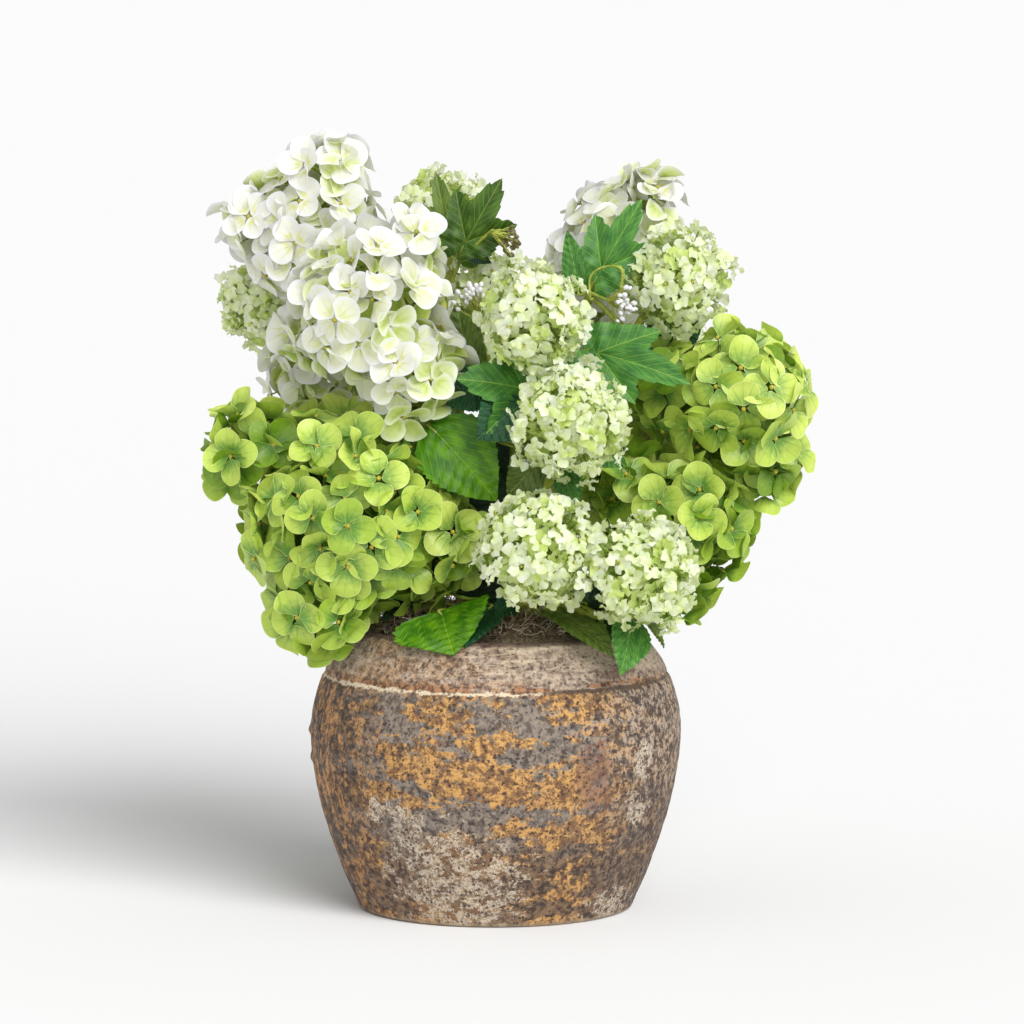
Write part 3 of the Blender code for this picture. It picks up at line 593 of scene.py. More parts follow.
def jar_material():
    """Old glazed stoneware: an ochre ground under layers of grey, rust, lime deposit and pits."""
    graph = Graph("old_stoneware", 0.78)
    step, mix = graph.step, graph.mix
    place = graph.add("ShaderNodeTexCoord", {}, 3)
    x, _, z = graph.split(place)
    flat = graph.stretch(place, (1.0, 1.0, 2.4))
    fine = graph.noise(place, 420.0, 3.0, 0.6)
    grain = graph.noise(place, 200.0, 6.0, 0.70)
    speck = graph.noise(place, 120.0, 9.0, 0.76, 0.2)
    blotch = graph.noise(flat, 46.0, 10.0, 0.72, 0.3)
    coarse = graph.noise(flat, 20.0, 4.0, 0.55, 0.4)
    broad = graph.noise(place, 13.0, 5.0, 0.6)
    streak = graph.noise(graph.stretch(place, (1.0, 1.0, 0.42)), 80.0, 7.0, 0.66)
    thread = graph.noise(graph.stretch(place, (0.4, 0.4, 3.0)), 60.0, 8.0, 0.7)

    def grained(one, other, low=-0.10, high=0.08):
        """Two colours in the clay's own grain."""
        return mix(step(grain, low, high), light(*one), light(*other))

    def patch(centre, size):
        """1 inside a ragged patch of the surface round the centre."""
        away = graph.add("ShaderNodeVectorMath", {0: place, 1: centre}, operation="SUBTRACT")
        away = graph.add("ShaderNodeVectorMath", {0: away, 1: [1.0 / s for s in size]}, operation="MULTIPLY")
        away = graph.add("ShaderNodeVectorMath", {0: away}, 1, operation="LENGTH")
        return step(away + speck * 4.8 + blotch * 1.95, 1.05, 0.75)

    def holes(vector, scale, ragged, low, high):
        cells = graph.add("ShaderNodeTexVoronoi", {"Vector": vector, "Scale": scale, "Randomness": 1.0})
        return step(cells + grain * ragged, low, high)

    # The ground: ochre, mottled down to small brown flecks.
    colour = grained((110, 78, 52), (202, 154, 90), high=0.06)
    colour = mix(step(speck, -0.01, 0.05) * 0.75, colour, light(108, 78, 58))
    # Grey-brown glaze lies in flat patches, most of them below the shoulder, on the left and near the foot.
    cover = coarse + blotch * 0.70 + speck * 0.55
    cover = cover + step(z + broad * 0.06, 0.105, 0.150) * 0.075
    cover = cover + step(x + broad * 0.04, -0.050, -0.105) * 0.040
    cover = cover + step(z + broad * 0.05, 0.088, 0.050) * 0.065
    grey = grained((78, 71, 66), (136, 126, 116), -0.12, 0.10)
    grey = mix(step(z + coarse * 0.10, 0.090, 0.050), grey, grained((58, 46, 40), (124, 100, 78)))
    colour = mix(step(cover, 0.020, 0.070) * 0.92, colour, grey)
    # Brown runs down the left side.
    runs = step(streak + speck * 0.9, -0.04, 0.04)
    runs = mix(runs, grained((98, 70, 50), (186, 136, 82)), grained((50, 40, 38), (90, 76, 64)))
    colour = mix(step(x + blotch * 0.07, -0.070, -0.112) * 0.85, colour, runs)
    # The right third is a dull tan-grey, darker lower down.
    dull = grained((92, 76, 64), (178, 158, 138), high=0.07)
    shade = grained((64, 52, 44), (132, 112, 94), high=0.07)
    dull = mix(step(z + blotch * 0.08, 0.115, 0.070), dull, shade)
    dull = mix(step(speck, 0.01, 0.06), dull, light(68, 54, 48))
    colour = mix(step(x + blotch * 0.12, 0.050, 0.108) * 0.85, colour, dull)
    # The neck is brown and tan, with rust above the groove and cream threads on the right.
    neck = step(z + blotch * 0.014, 0.1675, 0.1725)
    tan = grained((130, 111, 97), (192, 171, 151), -0.12, 0.10)
    brown = step(coarse + speck * 0.5, -0.04, 0.06) * step(x + broad * 0.1, 0.030, -0.030)
    tan = mix(brown * 0.75, tan, grained((112, 86, 64), (184, 146, 106)))
    tan = mix(step(speck, 0.02, 0.08) * 0.8, tan, light(98, 78, 62))
    rust = step(thread + speck * 0.5 + grain * 0.3 + step(x, 0.040, -0.060) * 0.10, 0.0, 0.06)
    rust = rust * step(z + speck * 0.010, 0.1815, 0.1745)
    tan = mix(rust * 0.85, tan, grained((84, 56, 40), (170, 118, 72), -0.06, 0.06))
    cream = step(thread + speck * 0.5 + step(x + broad * 0.08, -0.020, 0.045) * 0.10, 0.07, 0.16)
    cream = cream * step(z, 0.176, 0.186)
    colour = mix(neck, colour, mix(cream * 0.75, tan, light(210, 190, 166)))
    # A dark band round the top of the lip: partly brown glaze, partly painted shadow of the moss along the
    # rim's inner edge.
    lip = step(z + x * 0.010 + speck * 0.004, 0.2010, 0.2032)
    colour = mix(lip * 0.8, colour, light(78, 58, 50))
    # A pale line lies in the groove, and gives way to a dark one on the right.
    off = graph.math("ABSOLUTE", z + blotch * 0.005 - GROOVE_HEIGHT)
    line = step(off + speck * 0.0100 + blotch * 0.0050, 0.0017, 0.0006)
    pale = mix(step(x + speck * 0.06, 0.025, 0.045), light(224, 208, 180), light(84, 68, 54))
    colour = mix(line * 0.9, colour, pale)
    # Lime deposit in patches, with the ground showing through in flecks.
    chalk = mix(step(fine, -0.12, 0.10), light(134, 116, 96), light(214, 200, 180))
    chalk = mix(step(speck + grain * 0.4, 0.0, 0.06), chalk, light(104, 80, 58))
    for centre, size, strength in JAR_DEPOSITS:
        colour = mix(patch(centre, size) * strength, colour, chalk)
    strewn = step(graph.noise(flat, 24.0, 8.0, 0.72) + speck * 0.4, 0.12, 0.18) * step(z, 0.165, 0.12)
    colour = mix(strewn * 0.6, colour, chalk)
    for centre, size in JAR_STAINS:
        colour = mix(patch(centre, size) * 0.6, colour, light(118, 84, 72))
    # Pits, dark where the glaze has popped, and dark flecks, both fainter on the neck.
    pits = graph.math("MAXIMUM", holes(place, 240.0, 0.8, 0.27, 0.17), holes(flat, 66.0, 0.25, 0.125, 0.085))
    colour = mix(pits * (0.80 - neck * 0.30), colour, light(62, 49, 50))
    colour = mix(step(fine, 0.07, 0.14) * (0.62 - neck * 0.25), colour, light(64, 48, 42))
    # The foot: a worn pale edge.
    colour = mix(step(z + speck * 0.008, 0.0046, 0.0020) * 0.6, colour, light(168, 148, 120))
    rough = graph.add("ShaderNodeMapRange", {0: step(blotch, -0.08, 0.15), 3: 0.88, 4: 0.58})
    graph.put(graph.shader.inputs["Roughness"], rough)
    rings = graph.noise(graph.stretch(place, (0.06, 0.06, 1.0)), 170.0, 3.0) + 0.5
    graph.bump(grain * 0.8 + fine * 0.3 + rings * (neck * 0.6 + 0.4) - pits * 0.9, 0.7, 0.0018)
    return graph.colour(colour)


# ---------------------------------------------------------------- flowers
FLOWER_RADIUS = {WHITE: 0.0215, LIME: 0.0230}  # from its middle to a petal's tip
FLOWER_SPACING = {WHITE: 0.0200, LIME: 0.0208}
FLOWER_DEPTH = 0.72  # of its radius, a flower sits in its lobe
FLOWER_LIFT = 0.06
PETAL_SIZE = 0.462  # of the flower's radius
PETAL_FOOT = 0.085  # how far from the flower's middle its petals start, of its radius
LEANS = (0.16, 0.36, 0.80)
LEAN_SHARES = {WHITE: (0.60, 0.34, 0.06), LIME: (0.36, 0.36, 0.28)}
# Painted shade for lime_right_low, which lies in the shade of other heads; a negative value is painted light,
# for lime_right.
LIME_PAINTED_SHADE = {"lime_right_low": 0.25, "lime_right": -0.15}  # how much darker a head is
SMALL_LOBE = 0.036  # flowers shrink on lobes of a smaller radius
FLORET_RADIUS = 0.0090
FLORET_SPACING = 0.0116
FLORET_DEPTH = 0.0130
LOBES = 5
LOBE_RADIUS = 0.46  # of the floret's
LOBE_PLACE = 0.60
# For the outer and the inner layer of flowers: their spacing and their distance, of the outer layer's.
FLOWER_LAYERS = ((1.0, 1.0), (1.12, 0.68))
FLORET_LAYERS = ((1.0, 1.0), (1.15, 0.84))
SITES = 26.0  # tried on a lobe of the spacing's own radius
SITE_JITTER = (0.02, 0.0014)  # of its direction, and of its distance
LOBE_OVERLAP = 0.88  # no flower sits this deep in another lobe of its own bloom, of that one's radius
OWN_SIDE = 0.001
RIM_TOP = 0.205
RIM_RADIUS = 0.1
JAR_MARGIN = 0.006  # no flower's middle lies nearer to the jar
FILL_MARGIN = 0.016
REST_TOP = 0.2065  # what lies below this and outside REST_RADIUS is held off the jar, by REST_CLEARANCE
REST_RADIUS = 0.085
REST_CLEARANCE = 0.0015
EYES = []  # (place, radius, kind)
STALKS = []  # each a line of points


def petal_shapes(cells, count, rng):
    """Petals of unit disc radius in their own planes, and their common faces and map.

    Each lies from its foot at (0, -1) to its tip at (0, 1): a disc that narrows to a claw, cupped, waved and
    turned back by its own amounts.
    """
    disc, faces = disc_grid(cells)
    x, y = disc.T
    out, turn = np.hypot(x, y), np.arctan2(y, x)
    shapes = []
    for _ in range(count):
        claw = 0.36 + 0.64 * smoothstep(y, -1.05, -0.42)
        wide = x * claw * rng.uniform(0.98, 1.12)
        long = y * rng.uniform(0.94, 1.02)
        cup = rng.uniform(-0.10, 0.34) * out**2
        trough = rng.choice((0.0, 0.16, 0.30, 0.70), p=(0.3, 0.35, 0.2, 0.15)) * wide**2
        wave = rng.uniform(0.02, 0.10) * out**3
        wave = wave * np.sin(rng.integers(2, 5) * turn + rng.uniform(0, FULL_TURN))
        tip = -rng.uniform(0.0, 0.42) * smoothstep(y, 0.15, 1.1) ** 1.5
        shapes.append(np.stack([wide, long, cup + trough + wave + tip], axis=1))
    return np.array(shapes), faces, (disc + 1.0) / 2.0


def flower_points(shapes, radius, rng):
    """One flower of four petals facing +Z, from the petals' shapes."""
    disc = radius * PETAL_SIZE
    lift = rng.uniform(-0.14, 0.42) + FLOWER_LIFT
    found = []
    for i in range(4):
        petal = shapes[rng.integers(len(shapes))] * disc
        if rng.random() < 0.5:
            petal = petal * (-1.0, 1.0, 1.0)
        roll = rng.normal(0.20, 0.10)
        pitch = lift + rng.normal(0.0, 0.20)
        petal = petal @ rotation("Y", roll).T + (0.0, disc, 0.0)
        petal = petal @ rotation("X", pitch).T + (0.0, radius * PETAL_FOOT, 0.0)
        found.append(petal @ rotation("Z", i * math.pi / 2 + rng.normal(0.0, 0.09)).T)
    return found


def floret_shapes(count, rng):
    """Snowball florets of radius 1: round, ruffled lobes, and their common faces and map."""
    disc, quads = disc_grid(4)
    x, y = disc.T
    out, turn = np.hypot(x, y), np.arctan2(y, x)
    headings = [i * 2 * math.pi / LOBES for i in range(LOBES)]
    faces = [quads + i * len(disc) for i in range(LOBES)]
    middles = [rotation("Z", heading)[:2, :2] @ (0.0, LOBE_PLACE) for heading in headings]
    uvs = [0.5 + 0.5 * (disc * LOBE_RADIUS + middle) for middle in middles]
    shapes = []
    for _ in range(count):
        lobes = []
        dish = rng.uniform(-0.15, 0.55)
        for heading in headings:
            size = LOBE_RADIUS * rng.uniform(0.88, 1.12)
            ruffle = 0.30 * out**2 * np.sin(4 * turn + rng.uniform(0, FULL_TURN))
            ruffle = ruffle + rng.uniform(-0.45, 0.15) * out**2
            notch = 1.0 + 0.13 * out * np.sin(3 * turn + rng.uniform(0, FULL_TURN))
            lobe = np.stack([x * 1.08 * notch, y * notch, ruffle], axis=1) * size
            lobe = lobe @ rotation("Y", rng.normal(0.12, 0.22)).T + (0.0, LOBE_PLACE, 0.0)
            lobe = lobe @ rotation("X", dish + rng.normal(0.0, 0.30)).T
            lobes.append(lobe @ rotation("Z", heading + rng.normal(0.0, 0.10)).T)
        shapes.append(np.concatenate(lobes))
    return np.array(shapes), np.concatenate(faces), np.clip(np.concatenate(uvs), 0.0, 1.0)


def jar_reach(height):
    """The jar's outer radius at each height."""
    radii, heights = zip(*JAR_OUTSIDE)
    return np.interp(height, heights, radii)


def rest_on_jar(points):
    """Moves what lies inside the jar's wall out onto it."""
    out = np.hypot(points[:, 0], points[:, 1])
    wanted = jar_reach(points[:, 2]) + REST_CLEARANCE
    inside = (points[:, 2] < REST_TOP) & (out < wanted) & (out > REST_RADIUS)
    scale = np.where(inside, wanted / np.maximum(out, 0.001), 1.0)
    return points * np.stack([scale, scale, np.ones(len(points))], axis=1)


def own_side(name, place):
    """How far inside its own bloom's space a place is."""
    mine = [(np.array(lobe[:3]), lobe[3]) for lobe in BLOOMS[name][1]]
    least = 1.0
    for other, (_, lobes) in BLOOMS.items():
        for lobe in lobes if other != name else ():
            centre = np.array(lobe[:3])
            power = ((place - centre) ** 2).sum() - lobe[3] ** 2
            past = [
                (power - ((place - own) ** 2).sum() + radius * radius) / (2 * far(centre, own))
                for own, radius in mine
            ]
            least = min(least, max(past))
    return least


def far(one, other):
    return np.linalg.norm(one - other)


def lobe_shell(radius, depth):
    """How far from a lobe's middle its flowers sit."""
    return math.sqrt(radius * radius - (depth * min(1.0, radius / SMALL_LOBE)) ** 2)


def bloom_sites(name, spacing, share, depth, rng):
    """Places for one layer of flowers on a bloom: (place, direction out of its lobe, the lobe's radius)."""
    lobes = BLOOMS[name][1]
    taken = []
    for lobe in lobes:
        radius = lobe[3]
        shell = lobe_shell(radius, depth) * share
        others = [other for other in lobes if other != lobe]
        for direction in even_directions(int(SITES * (shell / spacing) ** 2)):
            direction = unit(direction + rng.normal(size=3) * SITE_JITTER[0])
            place = np.array(lobe[:3]) + direction * (shell + rng.normal(0.0, SITE_JITTER[1]))
            within = any(far(place, other[:3]) < other[3] * share * LOBE_OVERLAP for other in others)
            out = math.hypot(place[0], place[1])
            in_jar = place[2] < RIM_TOP and out < jar_reach(place[2]) + JAR_MARGIN
            in_fill = place[2] < FILL_TOP + FILL_MARGIN and out < RIM_RADIUS
            crowded = any(far(place, spot) < spacing for spot, _, _ in taken)
            if not (within or in_jar or in_fill or crowded) and own_side(name, place) > OWN_SIDE:
                taken.append((place, direction, radius))
    return taken


def petal_tone(kind, name, layer, place, direction, rng):
    """Which tone a flower has, by its bloom, its layer and which way it faces, with painted light and shade
    among them.
    """
    chance = rng.random()
    facing_down = 0.5 - 0.5 * direction[2]
    if kind == LIME:
        # The inner layer takes the dark tones 4 and 3: painted shade deep in the head.
        if layer:
            return 4 if chance < 0.7 else 3
        # Lime flowers take the light tone 2 when they face up and the dark tone 3 when they face down, with a
        # random share: painted light and painted shade.
        score = facing_down + 0.9 * (chance - 0.5) + LIME_PAINTED_SHADE.get(name, 0.0)
        return (2, 1, 0, 3)[np.searchsorted((0.06, 0.36, 0.86), score)]
    pale = name in ("white_right", "white_top")
    # The inner layers take darker tones, 2 and 3 in the pale heads and 4 and 3 in the others: painted shade
    # deep in the head.
    if layer and pale:
        return 2 if chance < 0.5 else 3
    if layer:
        return 4 if chance < 0.75 else 3
    # Flowers on the far side of the pale heads take the grey lavender tone 5, partly painted shade.
    if pale and place[1] > 0.03 and chance < 0.5:
        return 5
    # White flowers facing down or to the right lean to the greener tones, partly the petals' own green, partly
    # painted shade on their undersides; the heads behind and within lean further, as painted shade.
    green = facing_down + 0.35 * direction[0] - 0.15
    if name in ("white_back", "white_back_left", "white_inner"):
        green += 0.12
    if pale:
        green -= 0.20
    return int(np.searchsorted((0.22, 0.48, 0.76), green + 0.55 * (chance - 0.5)))


def add_hydrangeas(kind, rng):
    """All heads of one kind of hydrangea, petal by petal."""
    tones = len(PETAL_TONES[kind])
    full = FLOWER_RADIUS[kind]
    petals = Pile("petals_" + kind)
    fine = petal_shapes(6, 14, rng)
    coarse = petal_shapes(4, 8, rng)
    for name, (own_kind, _) in BLOOMS.items():
        for layer in (0, 1) if own_kind == kind else ():
            spacing, share = FLOWER_LAYERS[layer]
            shapes, faces, uv = (fine, coarse)[layer]
            sites = bloom_sites(name, FLOWER_SPACING[kind] * spacing, share, full * FLOWER_DEPTH, rng)
            for place, direction, lobe in sites:
                shell = lobe_shell(lobe, full * FLOWER_DEPTH) * share
                size = full * min(1.0, 0.72 + 0.28 * lobe / SMALL_LOBE) * rng.uniform(0.92, 1.06)
                leaning = rng.choice(LEANS, p=LEAN_SHARES[kind])
                normal = unit(direction + rng.normal(size=3) * leaning)
                turn = turn_to(normal, rng.uniform(0, FULL_TURN))
                tone = petal_tone(kind, name, layer, place, direction, rng)
                place = place + direction * rng.uniform(-0.0075, 0.0030)
                flower = [petal @ turn.T for petal in flower_points(shapes, size, rng)]
                centre = place - direction * shell
                reach = np.linalg.norm(np.concatenate(flower) + place - centre, axis=1).max()
                place = place - direction * max(0.0, reach - lobe - rng.uniform(0.001, 0.008))
                for petal in flower:
                    petals.add(rest_on_jar(petal + place), faces, tile(uv, tone, tones), tone)
                EYES.append((place + normal * 0.0012, 0.0018 * size / full, kind))
                inner = place - direction * size * 1.1
                STALKS.append([place - normal * 0.0004, place - normal * 0.007, inner])
    materials = [
        petal_material(f"{kind}_petal_{tone}", tone, tones, colours, *PETAL_FINISH[kind])
        for tone, colours in enumerate(PETAL_TONES[kind])
    ]
    made = petals.make(materials)
    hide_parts(*(name for name, bloom in BLOOMS.items() if bloom[0] == kind))


def add_snowballs(rng):
    """The snowballs, each of small ruffled florets in two layers."""
    florets = Pile("florets_snowball")
    shapes, faces, uv = floret_shapes(12, rng)
    tones = len(FLORET_TONES)
    for name, (kind, _) in BLOOMS.items():
        for layer in (0, 1) if kind == SNOWBALL else ():
            spacing, share = FLORET_LAYERS[layer]
            for place, direction, _ in bloom_sites(name, FLORET_SPACING * spacing, share, FLORET_DEPTH, rng):
                normal = unit(direction + rng.normal(size=3) * 0.28)
                turn = turn_to(normal, rng.uniform(0, FULL_TURN))
                sunk = rng.uniform(0.0, 1.0)
                clump = noise.noise(Vector(direction * 2.6) + Vector(place * 40.0)) * 0.011
                place = place + direction * (0.0004 - 0.0070 * sunk + clump)
                size = FLORET_RADIUS * rng.uniform(0.82, 1.12)
                # Florets sunk deeper or facing down take the darker tones, the inner layer the darkest: painted
                # shade, with a random share.
                chance = 0.75 * sunk + 0.4 * rng.random() - 0.2 * direction[2]
                tone = 3 if layer else int(np.searchsorted((0.42, 0.92), chance))
                shape = shapes[rng.integers(len(shapes))] * size
                florets.add(rest_on_jar(shape @ turn.T + place), faces, tile(uv, tone, tones), tone)
                if layer == 0 and rng.random() < 0.5:
                    EYES.append((place - normal * 0.0006, 0.0009, kind))
                STALKS.append([place - normal * 0.0014, place - direction * 0.008, place - direction * 0.018])
    materials = [
        floret_material(f"snowball_floret_{tone}", tone, tones, colours)
        for tone, colours in enumerate(FLORET_TONES)
    ]
    made = florets.make(materials)
    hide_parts(*(name for name, bloom in BLOOMS.items() if bloom[0] == SNOWBALL))


def add_eyes_and_stalks():
    """The small button in each flower, and the stalk behind it."""
    eyes = Pile("flower_eyes")
    large, small = ball(2), ball(1)
    kinds = list(EYE_TONES)
    for place, radius, kind in EYES:
        points, faces = small if kind == SNOWBALL else large
        eyes.add(points * radius + place, faces, None, kinds.index(kind))
    made = eyes.make([plain_material("eye_" + kind, *EYE_TONES[kind], 900.0, 0.6) for kind in kinds])
    stalks = Pile("flower_stalks")
    for line in STALKS:
        stalks.add(*tube(line, (0.0007, 0.0007, 0.0009), 3))
    made = stalks.make([plain_material("flower_stalk", (150, 172, 70), (118, 146, 50), 300.0)])


# ---------------------------------------------------------------- leaves, twigs and buds
OVAL = "oval"
LOBED = "lobed"
BUDS = "buds"
LOOP = "loop"
# Each spray: its bough, where its twig forks, then each leaf as (kind, foot, tip, width, tone). Leaves of the
# deep tone carry painted shade.
SPRAYS = {
    "leaves_top": ("snowball_top", (-0.026, 0.036, 0.468), (
        (LOBED, (-0.034, 0.034, 0.477), (-0.043, 0.030, 0.533), 0.036, "olive"),
        (LOBED, (-0.025, 0.030, 0.476), (0.004, 0.022, 0.528), 0.054, "grass"),
        (OVAL, (-0.020, 0.030, 0.473), (-0.004, 0.020, 0.468), 0.012, "deep"),
        (BUDS, (-0.004, 0.018, 0.490), (0.013, 0.014, 0.482), 0.020, "brown"),
    )),
    "leaves_right_high": ("snowball_right", (0.066, -0.006, 0.448), (
        (LOBED, (0.072, -0.008, 0.457), (0.105, -0.010, 0.515), 0.050, "mid"),
        (OVAL, (0.060, -0.010, 0.446), (0.052, -0.014, 0.492), 0.020, "mid"),
        (OVAL, (0.110, 0.020, 0.407), (0.151, 0.030, 0.424), 0.040, "dark"),
        (LOOP, (0.068, -0.016, 0.443), (0.090, -0.026, 0.451), 0.016, "mid"),
        (BUDS, (0.080, -0.024, 0.443), (0.094, -0.034, 0.441), 0.024, "white"),
    )),
    "leaves_right_middle": ("snowball_high", (0.058, -0.030, 0.400), (
        (LOBED, (0.064, -0.034, 0.408), (0.138, -0.054, 0.389), 0.060, "mid"),
        (OVAL, (0.070, -0.026, 0.398), (0.112, -0.036, 0.410), 0.024, "dark"),
    )),
    "leaves_centre": ("snowball_high", (-0.002, -0.036, 0.388), (
        (LOBED, (0.026, -0.052, 0.380), (-0.024, -0.078, 0.392), 0.078, "mid"),
        (OVAL, (0.022, -0.060, 0.374), (-0.012, -0.084, 0.350), 0.046, "dark"),
        (OVAL, (-0.006, -0.050, 0.387), (-0.036, -0.054, 0.371), 0.036, "dark"),
        (OVAL, (-0.017, 0.000, 0.376), (-0.028, 0.000, 0.440), 0.034, "olive"),
        (OVAL, (0.060, -0.060, 0.345), (0.094, -0.064, 0.328), 0.026, "mid"),
        (BUDS, (-0.011, -0.026, 0.430), (-0.020, -0.030, 0.449), 0.022, "white"),
    )),
    "leaf_centre_broad": ("white_front", (-0.030, -0.034, 0.352), (
        (OVAL, (-0.048, -0.050, 0.356), (0.001, -0.070, 0.305), 0.060, "bright"),
        (OVAL, (-0.012, -0.018, 0.352), (0.012, -0.014, 0.298), 0.040, "deep"),
        (OVAL, (0.038, -0.060, 0.337), (0.008, -0.068, 0.307), 0.034, "olive"),
        (OVAL, (0.046, -0.060, 0.330), (0.057, -0.076, 0.296), 0.022, "mid"),
        (OVAL, (-0.026, -0.030, 0.318), (0.006, -0.040, 0.242), 0.050, "deep"),
        (OVAL, (0.004, -0.028, 0.300), (-0.022, -0.050, 0.244), 0.042, "deep"),
        (OVAL, (-0.024, -0.018, 0.262), (-0.002, -0.030, 0.220), 0.044, "deep"),
    )),
    "leaves_rim_front": ("white_front", (-0.016, -0.048, 0.222), (
        (OVAL, (-0.039, -0.074, 0.225), (-0.031, -0.112, 0.201), 0.074, "bright"),
        (OVAL, (-0.052, -0.034, 0.229), (-0.082, -0.056, 0.218), 0.030, "deep"),
        (OVAL, (-0.003, -0.068, 0.228), (-0.021, -0.106, 0.206), 0.030, "dark"),
        (OVAL, (0.015, -0.064, 0.228), (-0.003, -0.078, 0.223), 0.018, "dark"),
    )),
    "leaf_rim_middle": ("snowball_middle", (0.034, -0.056, 0.219), (
        (OVAL, (0.035, -0.060, 0.224), (0.083, -0.114, 0.204), 0.040, "olive"),
        (OVAL, (0.062, -0.058, 0.228), (0.083, -0.084, 0.212), 0.024, "deep"),
    )),
    "leaf_rim_right": ("snowball_low_right", (0.078, -0.068, 0.218), (
        (OVAL, (0.096, -0.082, 0.222), (0.091, -0.134, 0.190), 0.034, "mid"),
        (OVAL, (0.102, -0.070, 0.222), (0.122, -0.080, 0.201), 0.012, "olive"),
        (OVAL, (0.050, -0.040, 0.225), (0.088, -0.020, 0.230), 0.034, "deep"),
    )),
    "leaves_left": ("snowball_left", (-0.118, 0.050, 0.292), (
        (OVAL, (-0.128, 0.055, 0.296), (-0.196, 0.066, 0.322), 0.044, "bright"),
        (LOBED, (-0.124, 0.056, 0.286), (-0.178, 0.078, 0.258), 0.046, "mid"),
    )),
    "leaves_right": ("snowball_back_right", (0.130, 0.046, 0.312), (
        (OVAL, (0.138, 0.050, 0.314), (0.204, 0.066, 0.334), 0.042, "bright"),
        (LOBED, (0.136, 0.046, 0.306), (0.196, 0.050, 0.276), 0.046, "mid"),
    )),
    "leaves_back": ("white_back_left", (-0.006, 0.116, 0.322), (
        (LOBED, (-0.010, 0.126, 0.326), (-0.034, 0.174, 0.352), 0.048, "mid"),
        (OVAL, (0.000, 0.126, 0.320), (0.034, 0.176, 0.326), 0.036, "bright"),
    )),
    "leaf_rim_back": ("white_back", (0.029, 0.064, 0.222), (
        (OVAL, (0.030, 0.070, 0.222), (0.042, 0.132, 0.200), 0.044, "bright"),
    )),
}
BLADE_UPWARD = 0.8
FRONT_ROW = 0.042  # leaves in front of this, and higher than LEAVES_LOW, face the front
LEAVES_LOW = 0.25
FRONT_FACING = (0.10, -1.0, 0.35)
TWIG_RADIUS = 0.0016
TWIG_ENDS = (0.0014, 0.0008)
OVAL_TEETH = 14.0
OVAL_VEINS = 8.0
# A lobed leaf's edge on either side: (degrees from its tip, reach).
LOBE_OUTLINE = (
    (0, 1.0), (6, 0.95), (14, 0.84), (22, 0.69), (29, 0.59), (38, 0.70), (48, 0.88),
    (54, 0.86), (62, 0.74), (72, 0.60), (95, 0.52), (125, 0.45), (155, 0.34), (180, 0.06),
)
LOBED_TOOTH = 9.6  # degrees
LOBED_FOOT = 0.12  # where its stalk meets the blade, of the length
LOBED_WIDTH = 1.36  # of the outline
BUD_COUNT = 30


def blade_frame(foot, tip):
    """Along a blade, across it, and out of its face."""
    along = tip - foot
    outwards = unit(np.array([foot[0] + tip[0], foot[1] + tip[1], 0.0])) + (0.0, 0.0, BLADE_UPWARD)
    if foot[1] < FRONT_ROW and foot[2] > LEAVES_LOW:
        outwards = FRONT_FACING
    across = unit(np.cross(along, outwards))
    return along, across, unit(np.cross(across, along))


def add_oval(pile, foot, tip, width, tone, rng):
    """A pointed oval leaf with a toothed edge, folded a little on its middle vein."""
    rows, columns = 57, 13
    share, side = pairs(np.linspace(0, 1, rows), np.linspace(-1, 1, columns))
    outline = np.sin(math.pi * share**0.75) ** 0.86 * (1.0 - 0.10 * share)
    tooth = 1.0 - 0.09 * ((share * OVAL_TEETH) % 1.0) * (share > 0.08) * (share < 0.97)
    across = side * outline * np.where(np.abs(side) > 0.9, tooth, 1.0) * width / 2 * 1.08
    along, right, normal = blade_frame(foot, tip)
    length = np.linalg.norm(along)
    reach = np.abs(across) / (width / 2)
    quilt = np.sin((share - reach * 0.30) * OVAL_VEINS * 2 * math.pi) * (1 - np.abs(side)) * np.abs(side) * 4
    bend = rng.uniform(0, FULL_TURN)
    rise = length * (0.16 * share * (1 - share) - 0.10 * share**2) + 0.0015 * quilt
    rise = rise + 0.20 * width * reach**1.4 * 0.5 - 0.0010 * np.exp(-((side / 0.10) ** 2))
    rise = rise + 0.045 * width * np.sin(share * 7.0 + bend) * side * reach
    points = foot + along * share[:, None] + right * across[:, None] + normal * rise[:, None]
    uv = np.stack([np.clip(reach / 1.1, 0, 1), share], axis=1)
    pile.add(rest_on_jar(points), grid_faces(rows, columns), tile(uv, tone, len(LEAF_TONES)), tone)


